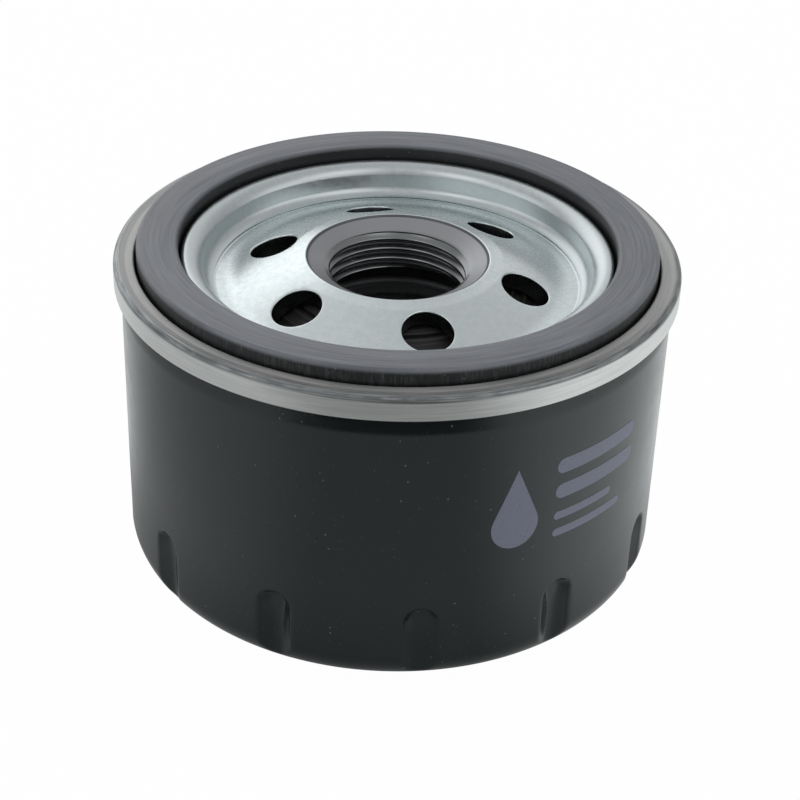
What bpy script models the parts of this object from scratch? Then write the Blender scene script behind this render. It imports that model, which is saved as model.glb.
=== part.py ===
"""Spin-on oil filter: a drawn can seamed to its cover, with the filter element and valves inside.

Metres, +Z up. The origin is the centre of the closed end's foot. The gasket's sealing face is
at the top, and the filter hangs on the M20 thread in the middle of the tapping plate.
"""

import math

import bmesh
import bpy
from mathutils import Matrix, Vector

MM = 0.001
GAP = 0.3 * MM  # clearance between neighbouring pieces
SHEET = 0.5 * MM  # can steel
THIN_SHEET = 0.4 * MM  # cover, end cap, tube and valve steel

# Overall sizes
TOTAL_HEIGHT = 50.0 * MM
SEAM_RADIUS = 38.0 * MM
SEAM_TOP = 48.0 * MM
SEAM_DEPTH = 3.45 * MM

# Can
CAN_RADIUS = 37.07 * MM
CAN_TOP = 46.6 * MM
FOOT_RADIUS = 22.0 * MM
SHOULDER_RADIUS = 5.0 * MM
SHOULDER_TURN = math.radians(73.5)
FLUTE_COUNT = 12
FLUTE_ANGLE = math.radians(7.2)  # first flute, counted from the -Y side
FLUTE_TOP = 16.3 * MM
FLUTE_WIDTH = 5.2 * MM
FLUTE_DEPTH = 1.2 * MM

# Gasket and the groove of the seaming lid
GASKET_INNER = 29.4 * MM
GASKET_OUTER = 34.92 * MM
GASKET_HEIGHT = 5.0 * MM
GASKET_EDGE = 0.35 * MM
GROOVE_INNER = 29.05 * MM
GROOVE_OUTER = 35.19 * MM
GROOVE_FLOOR = TOTAL_HEIGHT - GASKET_HEIGHT - GAP
DISH_SLOPE = 70.0  # degrees, the steepest part of the cover inside its bead
DISH_EDGE_SLOPE = 15.0
DISH_BEND = 1.5 * MM
CREST_BEND = 2.4 * MM
CREST_RADIUS = 28.45 * MM
BEAD = 0.55 * MM
LID_INNER = 24.75 * MM
LID_EDGE = 44.25 * MM

# Tapping plate
PLATE_THICKNESS = 2.5 * MM
PLATE_RADIUS = 36.2 * MM
PLATE_RIM_TOP = GROOVE_FLOOR - THIN_SHEET - GAP
CONE_ANGLE = math.radians(20.0)
VALLEY_TOP = 43.5 * MM
HUB_RADIUS = 12.49 * MM
CONE_START = HUB_RADIUS + 0.45 * MM
HUB_TOP = 47.2 * MM
HUB_BOTTOM = 40.4 * MM
COLLAR_RADIUS = 12.0 * MM
COUNTERSINK_DEPTH = 1.85 * MM
INLET_COUNT = 6
INLET_ANGLE = math.radians(43.8)
INLET_CIRCLE = 17.83 * MM
INLET_RADIUS = 3.37 * MM

# M20 x 1.5 internal thread
THREAD_PITCH = 1.5 * MM
THREAD_MAJOR = 10.0 * MM
THREAD_MINOR = 9.19 * MM

# Anti-drain valve
VALVE_INNER = COLLAR_RADIUS + 0.35 * MM
VALVE_COLLAR_OUTER = 14.6 * MM
FLAP_INNER = VALVE_COLLAR_OUTER + GAP
FLAP_OUTER = 23.6 * MM
FLAP_THICKNESS = 1.0 * MM
FLAP_DROP = 0.9 * MM  # from the plate down to the flap between its ridges
RIDGE_HEIGHT = 0.5 * MM
RIDGE_PITCH = 1.7 * MM

# Filter element
ELEMENT_TOP = 37.2 * MM
ELEMENT_BOTTOM = 10.1 * MM
CAP_RADIUS = 31.8 * MM
CAP_SKIRT = 2.4 * MM
TUBE_RADIUS = 13.2 * MM
GLUE_THICKNESS = 0.6 * MM
MEDIA_INNER = 13.9 * MM
MEDIA_OUTER = 30.9 * MM
PLEAT_COUNT = 40
PAPER = 0.5 * MM
PLEAT_HALF_GAP = 0.3 * MM
TUBE_HOLE_ROWS = 3
TUBE_HOLES_PER_ROW = 8
TUBE_HOLE_RADIUS = 1.9 * MM

# Bypass valve
PORT_RADIUS = 6.0 * MM
SEAT_FLANGE = 11.8 * MM
SEAT_LIP_HEIGHT = 1.5 * MM
BYPASS_DISC_RADIUS = 7.8 * MM
BYPASS_DISC_HEIGHT = 1.2 * MM
PLUNGER_RADIUS = 7.4 * MM
PIN_RADIUS = 2.2 * MM
CAGE_TOP = 22.9 * MM

# Support spring under the element
SUPPORT_WIRE = 0.8 * MM
SUPPORT_RADIUS = 15.0 * MM
SUPPORT_TURNS = 3.0
BYPASS_WIRE = 0.4 * MM
BYPASS_COIL = 4.2 * MM
BYPASS_TURNS = 4.0

# Faceting of the round surfaces
STEPS = 36
CAN_STEPS = 7 * FLUTE_COUNT
SMALL_STEPS = 24
SHARP_ANGLE = math.radians(35)

# colour, roughness, metallic
LOOKS = {
    "black_paint": ((0.022, 0.024, 0.026), 0.42, 0.0),
    "zinc_steel": ((0.52, 0.53, 0.54), 0.34, 1.0),
    "black_rubber": ((0.030, 0.031, 0.034), 0.70, 0.0),
    "valve_rubber": ((0.035, 0.033, 0.031), 0.62, 0.0),
    "seam_compound": ((0.30, 0.27, 0.22), 0.75, 0.0),
    "cap_steel": ((0.60, 0.58, 0.52), 0.38, 1.0),
    "spring_steel": ((0.36, 0.36, 0.37), 0.32, 1.0),
    "filter_paper": ((0.62, 0.44, 0.20), 0.85, 0.0),
    "glue": ((0.16, 0.15, 0.14), 0.60, 0.0),
}


def clear_scene():
    for obj in list(bpy.data.objects):
        bpy.data.objects.remove(obj, do_unlink=True)


def collection(name):
    found = bpy.data.collections.new(name)
    bpy.context.scene.collection.children.link(found)
    return found


def look(name):
    """The Principled material of this name, made once."""
    if name in bpy.data.materials:
        return bpy.data.materials[name]
    colour, roughness, metallic = LOOKS[name]
    material = bpy.data.materials.new(name)
    material.use_nodes = True
    shader = material.node_tree.nodes["Principled BSDF"]
    shader.inputs["Base Color"].default_value = (*colour, 1.0)
    shader.inputs["Roughness"].default_value = roughness
    shader.inputs["Metallic"].default_value = metallic
    return material


def add_part(name, data, material):
    obj = bpy.data.objects.new(name, data)
    parts.objects.link(obj)
    obj.data.materials.append(look(material))
    return obj


def add_cutter(name, mesh):
    obj = bpy.data.objects.new(name, mesh)
    cutters.objects.link(obj)
    obj.hide_render = True
    obj.display_type = "WIRE"
    return obj


def cut(obj, cutter):
    modifier = obj.modifiers.new(cutter.name, "BOOLEAN")
    modifier.operation = "DIFFERENCE"
    modifier.object = cutter


def apply_modifiers(obj):
    """Make the evaluated shape the object's own mesh, shaded smooth but for its corners."""
    bpy.context.view_layer.update()
    graph = bpy.context.evaluated_depsgraph_get()
    mesh = bpy.data.meshes.new_from_object(obj.evaluated_get(graph))
    obj.modifiers.clear()
    obj.data = mesh
    mesh.shade_smooth()
    mesh.set_sharp_from_angle(angle=SHARP_ANGLE)


def arc(centre, radius, start, end, steps):
    """Points round a centre in the (r, z) plane; the angles are in degrees."""
    points = []
    for i in range(steps + 1):
        angle = math.radians(start + (end - start) * i / steps)
        points.append((centre[0] + radius * math.cos(angle), centre[1] + radius * math.sin(angle)))
    return points


def profile_mesh(name, profile, closed):
    edges = [(i, i + 1) for i in range(len(profile) - 1)]
    if closed:
        edges.append((len(profile) - 1, 0))
    mesh = bpy.data.meshes.new(name)
    mesh.from_pydata([(r, 0.0, z) for r, z in profile], edges, [])
    return mesh


def turn(obj, steps):
    screw = obj.modifiers.new("Turn", "SCREW")
    screw.steps = steps
    screw.render_steps = steps
    screw.use_merge_vertices = True
    screw.merge_threshold = 0.01 * MM


def solidify(obj, thickness, even=True):
    sheet = obj.modifiers.new("Sheet", "SOLIDIFY")
    sheet.thickness = thickness
    sheet.offset = -1.0
    sheet.use_even_offset = even


def turned_solid(name, profile, material, steps=STEPS, closed=True):
    """A solid of revolution; the profile runs down its outer side and back up inside."""
    obj = add_part(name, profile_mesh(name, profile, closed), material)
    turn(obj, steps)
    apply_modifiers(obj)
    return obj


def turned_sheet(name, profile, material, thickness, steps=STEPS):
    """Sheet metal pressed round the axis; the profile is its outer face, the sheet lies behind."""
    obj = add_part(name, profile_mesh(name, profile, False), material)
    turn(obj, steps)
    solidify(obj, thickness)
    apply_modifiers(obj)
    return obj


def cylinder_cutter(name, radius, length, matrix, sides=20):
    work = bmesh.new()
    bmesh.ops.create_cone(
        work, cap_ends=True, segments=sides, radius1=radius, radius2=radius, depth=length
    )
    bmesh.ops.transform(work, matrix=matrix, verts=work.verts)
    mesh = bpy.data.meshes.new(name)
    work.to_mesh(mesh)
    work.free()
    return add_cutter(name, mesh)


def coil(name, radius, wire, bottom, top, turns, material, steps_per_turn):
    """A compression spring with a closed turn at each end, its wire lying between two heights."""
    count = round(turns * steps_per_turn)
    data = bpy.data.curves.new(name, "CURVE")
    data.dimensions = "3D"
    data.bevel_depth = wire
    data.bevel_resolution = 2
    data.use_fill_caps = True
    spline = data.splines.new("POLY")
    spline.points.add(count)
    closed_turn = 2.2 * wire / (top - bottom - 2 * wire)
    for i in range(count + 1):
        turned = turns * i / count
        free = (turned - 1.0) / (turns - 2.0)
        if turned < 1.0:
            part = closed_turn * turned
        elif turned > turns - 1.0:
            part = 1.0 - closed_turn * (turns - turned)
        else:
            part = closed_turn + (1.0 - 2 * closed_turn) * free
        height = bottom + wire + part * (top - bottom - 2 * wire)
        angle = 2 * math.pi * turned
        spline.points[i].co = (radius * math.cos(angle), radius * math.sin(angle), height, 1.0)
    return add_part(name, data, material)


def cone_top(radius):
    """Height of the tapping plate's conical upper face."""
    return HUB_TOP - math.tan(CONE_ANGLE) * (radius - CONE_START)


def plate_under(radius):
    """Height of the plate's underside: the cone, then the flat valley round it."""
    cone = cone_top(radius) - PLATE_THICKNESS / math.cos(CONE_ANGLE)
    return max(cone, VALLEY_TOP - PLATE_THICKNESS)


def can_profile():
    """The can's outer outline, from its open end down the wall and round to the axis."""
    shoulder_end = CAN_RADIUS - SHOULDER_RADIUS * (1 - math.cos(SHOULDER_TURN))
    rise = (shoulder_end - FOOT_RADIUS) / math.tan(SHOULDER_TURN)
    wall_end = rise + SHOULDER_RADIUS * math.sin(SHOULDER_TURN)
    round_end = FLUTE_TOP - FLUTE_WIDTH / 2
    middle = (round_end + wall_end) / 2
    heights = [CAN_TOP, FLUTE_TOP, FLUTE_TOP - 0.2 * FLUTE_WIDTH, round_end, middle]
    points = [(CAN_RADIUS, height) for height in heights]
    centre = (CAN_RADIUS - SHOULDER_RADIUS, wall_end)
    points += arc(centre, SHOULDER_RADIUS, 0.0, -math.degrees(SHOULDER_TURN), 6)
    return points + [(FOOT_RADIUS, 0.0), (0.0, 0.0)]


def flute_offset(angle):
    """Angle from the nearest flute's centre line."""
    pitch = 2 * math.pi / FLUTE_COUNT
    first = FLUTE_ANGLE - math.pi / 2
    return (angle - first + pitch / 2) % pitch - pitch / 2


def flute_depth(offset, height):
    """How far the wall is pressed in: a round-topped upright channel."""
    above = max(0.0, height - (FLUTE_TOP - FLUTE_WIDTH / 2))
    share = math.hypot(offset * CAN_RADIUS, above) / (FLUTE_WIDTH / 2)
    return FLUTE_DEPTH * max(0.0, 1.0 - share**4)


def can():
    """Drawn can with twelve flutes, which run out where the shoulder curves in past their floors."""
    obj = add_part("can", profile_mesh("can", can_profile(), False), "black_paint")
    turn(obj, CAN_STEPS)
    apply_modifiers(obj)
    gather = 0.75 / FLUTE_COUNT
    for vertex in obj.data.vertices:
        radius = math.hypot(vertex.co.x, vertex.co.y)
        angle = math.atan2(vertex.co.y, vertex.co.x)
        angle += FLUTE_ANGLE - math.pi / 2 - gather * math.sin(FLUTE_COUNT * angle)
        floor = CAN_RADIUS - flute_depth(flute_offset(angle), vertex.co.z)
        radius = min(radius, floor)
        vertex.co = (radius * math.cos(angle), radius * math.sin(angle), vertex.co.z)
    solidify(obj, SHEET, even=False)
    return obj


def dish():
    """The cover's inside, from its edge on the plate up over its crest: a hollow and a round bend."""
    turned = 90.0 - DISH_SLOPE
    lean = math.radians(DISH_EDGE_SLOPE)
    hollow = (LID_INNER - DISH_BEND * math.sin(lean), LID_EDGE + DISH_BEND * math.cos(lean))
    points = arc(hollow, DISH_BEND, DISH_EDGE_SLOPE - 90.0, -turned, 3)
    return points + arc((CREST_RADIUS, SEAM_TOP - CREST_BEND), CREST_BEND, 180.0 - turned, 90.0, 4)


def seaming_lid():
    """Thin cover: the gasket's groove, the bead inside it, and the seam that grips the can."""
    corner = 0.3 * MM
    lip = 0.55 * MM
    edge = 0.8 * MM
    points = dish()
    points += arc((GROOVE_INNER - BEAD, SEAM_TOP - BEAD), BEAD, 60.0, 0.0, 2)
    points.append((GROOVE_INNER, GROOVE_FLOOR + corner))
    points.append((GROOVE_INNER + corner, GROOVE_FLOOR))
    points.append((GROOVE_OUTER - corner, GROOVE_FLOOR))
    points.append((GROOVE_OUTER, GROOVE_FLOOR + corner))
    points += arc((GROOVE_OUTER + lip, SEAM_TOP - lip), lip, 180.0, 90.0, 2)
    points += arc((SEAM_RADIUS - edge, SEAM_TOP - edge), edge, 90.0, 0.0, 3)
    points.append((SEAM_RADIUS, SEAM_TOP - SEAM_DEPTH + corner))
    points.append((SEAM_RADIUS - 0.4 * corner, SEAM_TOP - SEAM_DEPTH))
    return turned_sheet("seaming_lid", points, "zinc_steel", THIN_SHEET)


def thread_cutter():
    """The groove of the M20 x 1.5 thread: its 60 degree section wound past both ends."""
    clear = 0.2 * MM
    wide = (3 / 8) * THREAD_PITCH + clear * math.tan(math.radians(30))
    narrow = THREAD_PITCH / 16
    section = [
        (THREAD_MINOR - clear, wide),
        (THREAD_MAJOR, narrow),
        (THREAD_MAJOR, -narrow),
        (THREAD_MINOR - clear, -wide),
    ]
    start = HUB_BOTTOM - THREAD_PITCH
    profile = [(r, start + z) for r, z in section]
    obj = add_cutter("thread_groove", profile_mesh("thread_groove", profile, True))
    screw = obj.modifiers.new("Thread", "SCREW")
    screw.steps = SMALL_STEPS
    screw.render_steps = SMALL_STEPS
    screw.screw_offset = THREAD_PITCH
    screw.iterations = 6
    screw.use_merge_vertices = True
    screw.merge_threshold = 0.01 * MM
    apply_modifiers(obj)
    work = bmesh.new()
    work.from_mesh(obj.data)
    bmesh.ops.holes_fill(work, edges=[edge for edge in work.edges if edge.is_boundary])
    bmesh.ops.recalc_face_normals(work, faces=work.faces)
    work.to_mesh(obj.data)
    work.free()
    return obj


def plate_outline():
    """The tapping plate's section, from the hub's rim out over the top and back underneath."""
    chamfer = 0.6 * MM
    break_edge = 0.1 * MM
    rim_under = PLATE_RIM_TOP - PLATE_THICKNESS
    valley_end = 24.9 * MM
    rim_start = 26.5 * MM
    root = COLLAR_RADIUS + 0.9 * MM
    cone_end = CONE_START + (HUB_TOP - VALLEY_TOP) / math.tan(CONE_ANGLE)
    valley_start = cone_end + 0.4 * MM
    points = [(HUB_RADIUS - 2.5 * break_edge, HUB_TOP), (HUB_RADIUS, HUB_TOP - break_edge)]
    points += [(CONE_START + 4 * break_edge, cone_top(CONE_START + 4 * break_edge))]
    points += [(cone_end - 0.8 * MM, cone_top(cone_end - 0.8 * MM)), (valley_start, VALLEY_TOP)]
    points += [(valley_end, VALLEY_TOP), (valley_end + 0.7 * MM, VALLEY_TOP + 0.25 * MM)]
    points += [(rim_start, PLATE_RIM_TOP), (PLATE_RADIUS, PLATE_RIM_TOP), (PLATE_RADIUS, rim_under)]
    points += [(rim_start + 1.5 * MM, rim_under), (valley_end, plate_under(valley_end))]
    points += [(valley_start, plate_under(valley_start))]
    points += [(cone_end - chamfer, plate_under(cone_end - chamfer)), (root, plate_under(root))]
    points += [(COLLAR_RADIUS, plate_under(root) - 0.8 * MM)]
    points += [(COLLAR_RADIUS, HUB_BOTTOM), (THREAD_MINOR + chamfer, HUB_BOTTOM)]
    return points + [(THREAD_MINOR, HUB_BOTTOM + chamfer), (THREAD_MINOR, HUB_TOP - COUNTERSINK_DEPTH)]


def tapping_plate():
    """Thick pressed plate: outer rim, conical web with the inlet holes, threaded hub."""
    plate = turned_solid("tapping_plate", plate_outline(), "zinc_steel")
    cut(plate, thread_cutter())
    for i in range(INLET_COUNT):
        angle = INLET_ANGLE + 2 * math.pi * i / INLET_COUNT
        lean = Matrix.Rotation(angle, 4, "Z") @ Matrix.Rotation(CONE_ANGLE, 4, "Y")
        x = INLET_CIRCLE * math.cos(angle)
        y = INLET_CIRCLE * math.sin(angle)
        matrix = Matrix.Translation((x, y, cone_top(INLET_CIRCLE))) @ lean
        cut(plate, cylinder_cutter(f"inlet_hole_{i}", INLET_RADIUS, 3 * PLATE_THICKNESS, matrix))
    return plate


def ring(name, inner, outer, bottom, top, material, edge=0.0, steps=STEPS):
    """A plain ring of rectangular section, its edges chamfered if edge is given."""
    if not edge:
        points = [(outer, top), (outer, bottom), (inner, bottom), (inner, top)]
        return turned_solid(name, points, material, steps)
    points = [(outer - edge, top), (outer, top - edge), (outer, bottom + edge)]
    points += [(outer - edge, bottom), (inner + edge, bottom), (inner, bottom + edge)]
    points += [(inner, top - edge), (inner + edge, top)]
    return turned_solid(name, points, material, steps)


def gasket():
    bottom = TOTAL_HEIGHT - GASKET_HEIGHT
    return ring(
        "gasket", GASKET_INNER, GASKET_OUTER, bottom, TOTAL_HEIGHT, "black_rubber", GASKET_EDGE
    )


def seam_sealant():
    """Compound laid in the fold of the seam, over the can's edge."""
    top = SEAM_TOP - THIN_SHEET - GAP
    return ring("seam_sealant", 35.95 * MM, 37.25 * MM, CAN_TOP + GAP, top, "seam_compound")


def anti_drain_collar():
    """The thick inner ring of the rubber valve, which also seals the element to the plate."""
    slack = 0.35 * MM
    under = plate_under(COLLAR_RADIUS + 0.9 * MM) - 0.5 * MM - slack
    points = [(VALVE_COLLAR_OUTER - 2 * slack, plate_under(VALVE_COLLAR_OUTER) - slack)]
    points += [(VALVE_COLLAR_OUTER, plate_under(VALVE_COLLAR_OUTER) - 2 * slack)]
    points += [(VALVE_COLLAR_OUTER, ELEMENT_TOP + GAP), (VALVE_INNER, ELEMENT_TOP + GAP)]
    points += [(VALVE_INNER, under - 0.4 * MM), (VALVE_INNER + 0.5 * MM, under)]
    return turned_solid("anti_drain_collar", points, "valve_rubber")


def anti_drain_flap():
    """The thin rubber flap that closes the inlet holes from below, ridged on its upper face."""
    lip = 1.2 * MM
    points = [(FLAP_OUTER, plate_under(FLAP_OUTER) - GAP)]
    points += [(FLAP_OUTER, plate_under(FLAP_OUTER) - FLAP_DROP - 0.75 * FLAP_THICKNESS)]
    points += [(FLAP_INNER, plate_under(FLAP_INNER) - FLAP_DROP - FLAP_THICKNESS)]
    points += [(FLAP_INNER, plate_under(FLAP_INNER) - FLAP_DROP)]
    ridge = FLAP_INNER + RIDGE_PITCH / 4
    while ridge < FLAP_OUTER - lip - RIDGE_PITCH:
        points.append((ridge, plate_under(ridge) - FLAP_DROP))
        crest = ridge + RIDGE_PITCH / 4
        points.append((crest, plate_under(crest) - FLAP_DROP + RIDGE_HEIGHT))
        foot = ridge + RIDGE_PITCH / 2
        points.append((foot, plate_under(foot) - FLAP_DROP))
        ridge += RIDGE_PITCH
    points.append((FLAP_OUTER - lip, plate_under(FLAP_OUTER - lip) - FLAP_DROP))
    return turned_solid("anti_drain_flap", points, "valve_rubber")


def element_caps():
    """Pressed end caps: the upper one open for the outlet, the lower one for the bypass valve."""
    skirt = ELEMENT_TOP - CAP_SKIRT
    mouth = 12.4 * MM
    points = [(mouth - 0.3 * MM, skirt), (mouth - 0.3 * MM, ELEMENT_TOP - 0.3 * MM)]
    points += [(mouth, ELEMENT_TOP), (CAP_RADIUS - 0.5 * MM, ELEMENT_TOP)]
    points += [(CAP_RADIUS, ELEMENT_TOP - 0.5 * MM), (CAP_RADIUS, skirt)]
    turned_sheet("element_top_cap", points, "cap_steel", THIN_SHEET)
    rim = ELEMENT_BOTTOM + CAP_SKIRT
    points = [(CAP_RADIUS, rim), (CAP_RADIUS, ELEMENT_BOTTOM + 0.5 * MM)]
    points += [(CAP_RADIUS - 0.5 * MM, ELEMENT_BOTTOM), (PORT_RADIUS + 2.0 * MM, ELEMENT_BOTTOM)]
    turned_sheet("element_bottom_cap", points, "cap_steel", THIN_SHEET)


def glue_rings():
    """Adhesive that beds the paper in both end caps."""
    inner = TUBE_RADIUS + GAP
    outer = MEDIA_OUTER + 0.1 * MM
    top = ELEMENT_TOP - THIN_SHEET - GAP
    ring("top_adhesive", inner, outer, top - GLUE_THICKNESS, top, "glue")
    bottom = ELEMENT_BOTTOM + THIN_SHEET + GAP
    ring("bottom_adhesive", inner, outer, bottom, bottom + GLUE_THICKNESS, "glue")


def media_span():
    """Lower and upper edge of the paper, inside the glue."""
    inset = THIN_SHEET + 2 * GAP + GLUE_THICKNESS
    return ELEMENT_BOTTOM + inset, ELEMENT_TOP - inset


def pleat_loop(tip_radius, tip_half, root_radius, root_half):
    """One closed line round all pleats, flat across each tip and each root."""
    points = []
    for i in range(PLEAT_COUNT):
        tip = 2 * math.pi * i / PLEAT_COUNT
        root = tip + math.pi / PLEAT_COUNT
        for angle, radius, half in ((tip, tip_radius, tip_half), (root, root_radius, root_half)):
            for side in (-1, 1):
                at = angle + side * half / radius
                points.append((radius * math.cos(at), radius * math.sin(at)))
    return points


def pleated_media():
    """Folded filter paper between the end caps."""
    bottom, top = media_span()
    data = bpy.data.curves.new("pleated_media", "CURVE")
    data.dimensions = "2D"
    data.fill_mode = "BOTH"
    data.extrude = (top - bottom) / 2
    wide = PLEAT_HALF_GAP + PAPER
    outer_loop = pleat_loop(MEDIA_OUTER, wide, MEDIA_INNER + PAPER, PLEAT_HALF_GAP)
    inner_loop = pleat_loop(MEDIA_OUTER - PAPER, PLEAT_HALF_GAP, MEDIA_INNER, wide)
    for loop in (outer_loop, inner_loop):
        spline = data.splines.new("POLY")
        spline.points.add(len(loop) - 1)
        spline.use_cyclic_u = True
        for point, (x, y) in zip(spline.points, loop):
            point.co = (x, y, 0.0, 1.0)
    obj = add_part("pleated_media", data, "filter_paper")
    obj.location.z = (bottom + top) / 2
    return obj


def media_clip():
    """Steel channel between the end caps, over the pleat where the two ends of the paper meet."""
    bottom = ELEMENT_BOTTOM + CAP_SKIRT + GAP
    top = ELEMENT_TOP - CAP_SKIRT - GAP
    data = bpy.data.curves.new("media_clip", "CURVE")
    data.dimensions = "2D"
    data.fill_mode = "BOTH"
    data.extrude = (top - bottom) / 2
    inside = PLEAT_HALF_GAP + PAPER + 0.55 * MM
    outside = inside + 0.3 * MM
    reach = MEDIA_OUTER - 5.0 * MM
    inner_end = MEDIA_OUTER + 0.25 * MM
    outer_end = inner_end + 0.25 * MM
    corners = [(reach, outside), (outer_end - GAP, outside), (outer_end, outside - GAP)]
    corners += [(outer_end, GAP - outside), (outer_end - GAP, -outside), (reach, -outside)]
    corners += [(reach, -inside), (inner_end, -inside), (inner_end, inside), (reach, inside)]
    spline = data.splines.new("POLY")
    spline.points.add(len(corners) - 1)
    spline.use_cyclic_u = True
    for point, (x, y) in zip(spline.points, corners):
        point.co = (x, y, 0.0, 1.0)
    obj = add_part("media_clip", data, "cap_steel")
    obj.location.z = (bottom + top) / 2
    return obj


def centre_tube():
    """Perforated tube that keeps the paper from collapsing inwards."""
    bottom = ELEMENT_BOTTOM + THIN_SHEET + GAP
    top = ELEMENT_TOP - THIN_SHEET - GAP
    tube = ring(
        "centre_tube", TUBE_RADIUS - THIN_SHEET, TUBE_RADIUS, bottom, top, "cap_steel"
    )
    spacing = (top - bottom) / (TUBE_HOLE_ROWS + 1)
    for row in range(TUBE_HOLE_ROWS):
        for i in range(TUBE_HOLES_PER_ROW):
            angle = 2 * math.pi * (i + 0.5 * (row % 2)) / TUBE_HOLES_PER_ROW
            height = bottom + spacing * (row + 1)
            place = Vector((TUBE_RADIUS * math.cos(angle), TUBE_RADIUS * math.sin(angle), height))
            lean = Matrix.Rotation(angle, 4, "Z") @ Matrix.Rotation(math.pi / 2, 4, "Y")
            matrix = Matrix.Translation(place) @ lean
            name = f"tube_hole_{row}_{i}"
            cut(tube, cylinder_cutter(name, TUBE_HOLE_RADIUS, 3 * MM, matrix, 8))
    return tube


def bypass_valve():
    """Spring-loaded valve in the element's lower end, opening upwards when the paper clogs."""
    flange = ELEMENT_BOTTOM + THIN_SHEET + GAP
    lip_top = flange + SEAT_LIP_HEIGHT
    points = [(SEAT_FLANGE, flange + THIN_SHEET), (SEAT_FLANGE, flange), (PORT_RADIUS, flange)]
    points += [(PORT_RADIUS, lip_top), (PORT_RADIUS + 0.6 * MM, lip_top)]
    points += [(PORT_RADIUS + 0.6 * MM, flange + THIN_SHEET)]
    turned_solid("bypass_seat", points, "cap_steel", SMALL_STEPS)

    disc = lip_top + GAP
    disc_top = disc + BYPASS_DISC_HEIGHT
    points = [(0.0, disc_top), (BYPASS_DISC_RADIUS, disc_top), (BYPASS_DISC_RADIUS, disc)]
    turned_solid("bypass_disc", points + [(0.0, disc)], "valve_rubber", SMALL_STEPS, False)

    plate = disc_top + GAP
    shelf = plate + 0.6 * MM
    pin_top = CAGE_TOP - 3.0 * MM
    points = [(0.0, pin_top), (PIN_RADIUS - 0.4 * MM, pin_top), (PIN_RADIUS, pin_top - 0.4 * MM)]
    points += [(PIN_RADIUS, shelf), (PLUNGER_RADIUS - 0.5 * MM, shelf)]
    points += [(PLUNGER_RADIUS - 0.5 * MM, shelf + 0.7 * MM), (PLUNGER_RADIUS, shelf + 0.7 * MM)]
    points += [(PLUNGER_RADIUS, plate), (0.0, plate)]
    turned_solid("bypass_plunger", points, "cap_steel", SMALL_STEPS, False)

    spring_top = CAGE_TOP - THIN_SHEET - GAP
    coil(
        "bypass_spring", BYPASS_COIL, BYPASS_WIRE, shelf + GAP, spring_top,
        BYPASS_TURNS, "spring_steel", 16,
    )

    seat_face = flange + THIN_SHEET + GAP
    points = [(PIN_RADIUS + 0.6 * MM, CAGE_TOP), (6.6 * MM, CAGE_TOP), (8.6 * MM, 21.2 * MM)]
    points += [(9.6 * MM, seat_face + 1.2 * MM), (10.4 * MM, seat_face + THIN_SHEET)]
    points += [(SEAT_FLANGE, seat_face + THIN_SHEET)]
    cage = turned_sheet("bypass_cage", points, "cap_steel", THIN_SHEET, SMALL_STEPS)
    for i in range(2):
        matrix = Matrix.Translation((0.0, 0.0, 17.0 * MM)) @ Matrix.Rotation(math.pi * i / 2, 4, "Z")
        matrix = matrix @ Matrix.Rotation(math.pi / 4, 4, "Z") @ Matrix.Rotation(math.pi / 2, 4, "Y")
        cut(cage, cylinder_cutter(f"cage_window_{i}", 3.2 * MM, 30 * MM, matrix))
    return cage


def element_spring():
    """Coil on the can's floor that holds the element up against the valve collar."""
    floor = SHEET + GAP
    ceiling = ELEMENT_BOTTOM - GAP
    return coil(
        "element_spring", SUPPORT_RADIUS, SUPPORT_WIRE, floor, ceiling,
        SUPPORT_TURNS, "spring_steel", 24,
    )


clear_scene()
parts = collection("oil_filter")
cutters = collection("cutters")
can()
seaming_lid()
tapping_plate()
seam_sealant()
gasket()
anti_drain_collar()
anti_drain_flap()
element_caps()
glue_rings()
pleated_media()
media_clip()
centre_tube()
bypass_valve()
element_spring()
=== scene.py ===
"""Looks of the spin-on oil filter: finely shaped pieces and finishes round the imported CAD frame.

Lengths are in millimetres in this script, and meshes are scaled to metres as they are made. Every
piece takes its place from the CAD nodes that it stands for.
"""

import math

import bpy
import numpy as np
from mathutils import Matrix, Vector


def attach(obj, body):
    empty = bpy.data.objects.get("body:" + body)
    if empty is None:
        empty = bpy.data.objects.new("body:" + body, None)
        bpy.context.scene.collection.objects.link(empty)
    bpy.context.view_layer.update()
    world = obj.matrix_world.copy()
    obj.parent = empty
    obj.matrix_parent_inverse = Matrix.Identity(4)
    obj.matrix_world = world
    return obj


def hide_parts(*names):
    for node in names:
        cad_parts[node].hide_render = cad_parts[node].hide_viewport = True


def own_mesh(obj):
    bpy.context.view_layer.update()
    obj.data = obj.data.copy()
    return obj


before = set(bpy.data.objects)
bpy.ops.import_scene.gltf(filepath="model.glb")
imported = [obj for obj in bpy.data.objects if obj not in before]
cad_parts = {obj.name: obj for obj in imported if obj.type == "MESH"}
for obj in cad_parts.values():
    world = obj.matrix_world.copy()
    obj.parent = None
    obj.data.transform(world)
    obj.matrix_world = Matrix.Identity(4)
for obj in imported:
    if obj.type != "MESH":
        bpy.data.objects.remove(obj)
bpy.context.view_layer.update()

MM = 0.001
SEGMENTS = 288  # mesh lines round the larger turned pieces
SMALL_SEGMENTS = 128
SUPPORT = 0.08  # distance from a corner to the mesh line that keeps its flat neighbour flat
SHARP_ANGLE = math.radians(38)


def extent(node):
    """(inner radius, outer radius, bottom, top) of a CAD node round the Z axis."""
    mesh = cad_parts[node].data
    flat = np.empty(len(mesh.vertices) * 3)
    mesh.vertices.foreach_get("co", flat)
    points = flat.reshape(-1, 3) / MM
    radii = np.hypot(points[:, 0], points[:, 1])
    return radii.min(), radii.max(), points[:, 2].min(), points[:, 2].max()


# ---------------------------------------------------------------- shapes


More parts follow.
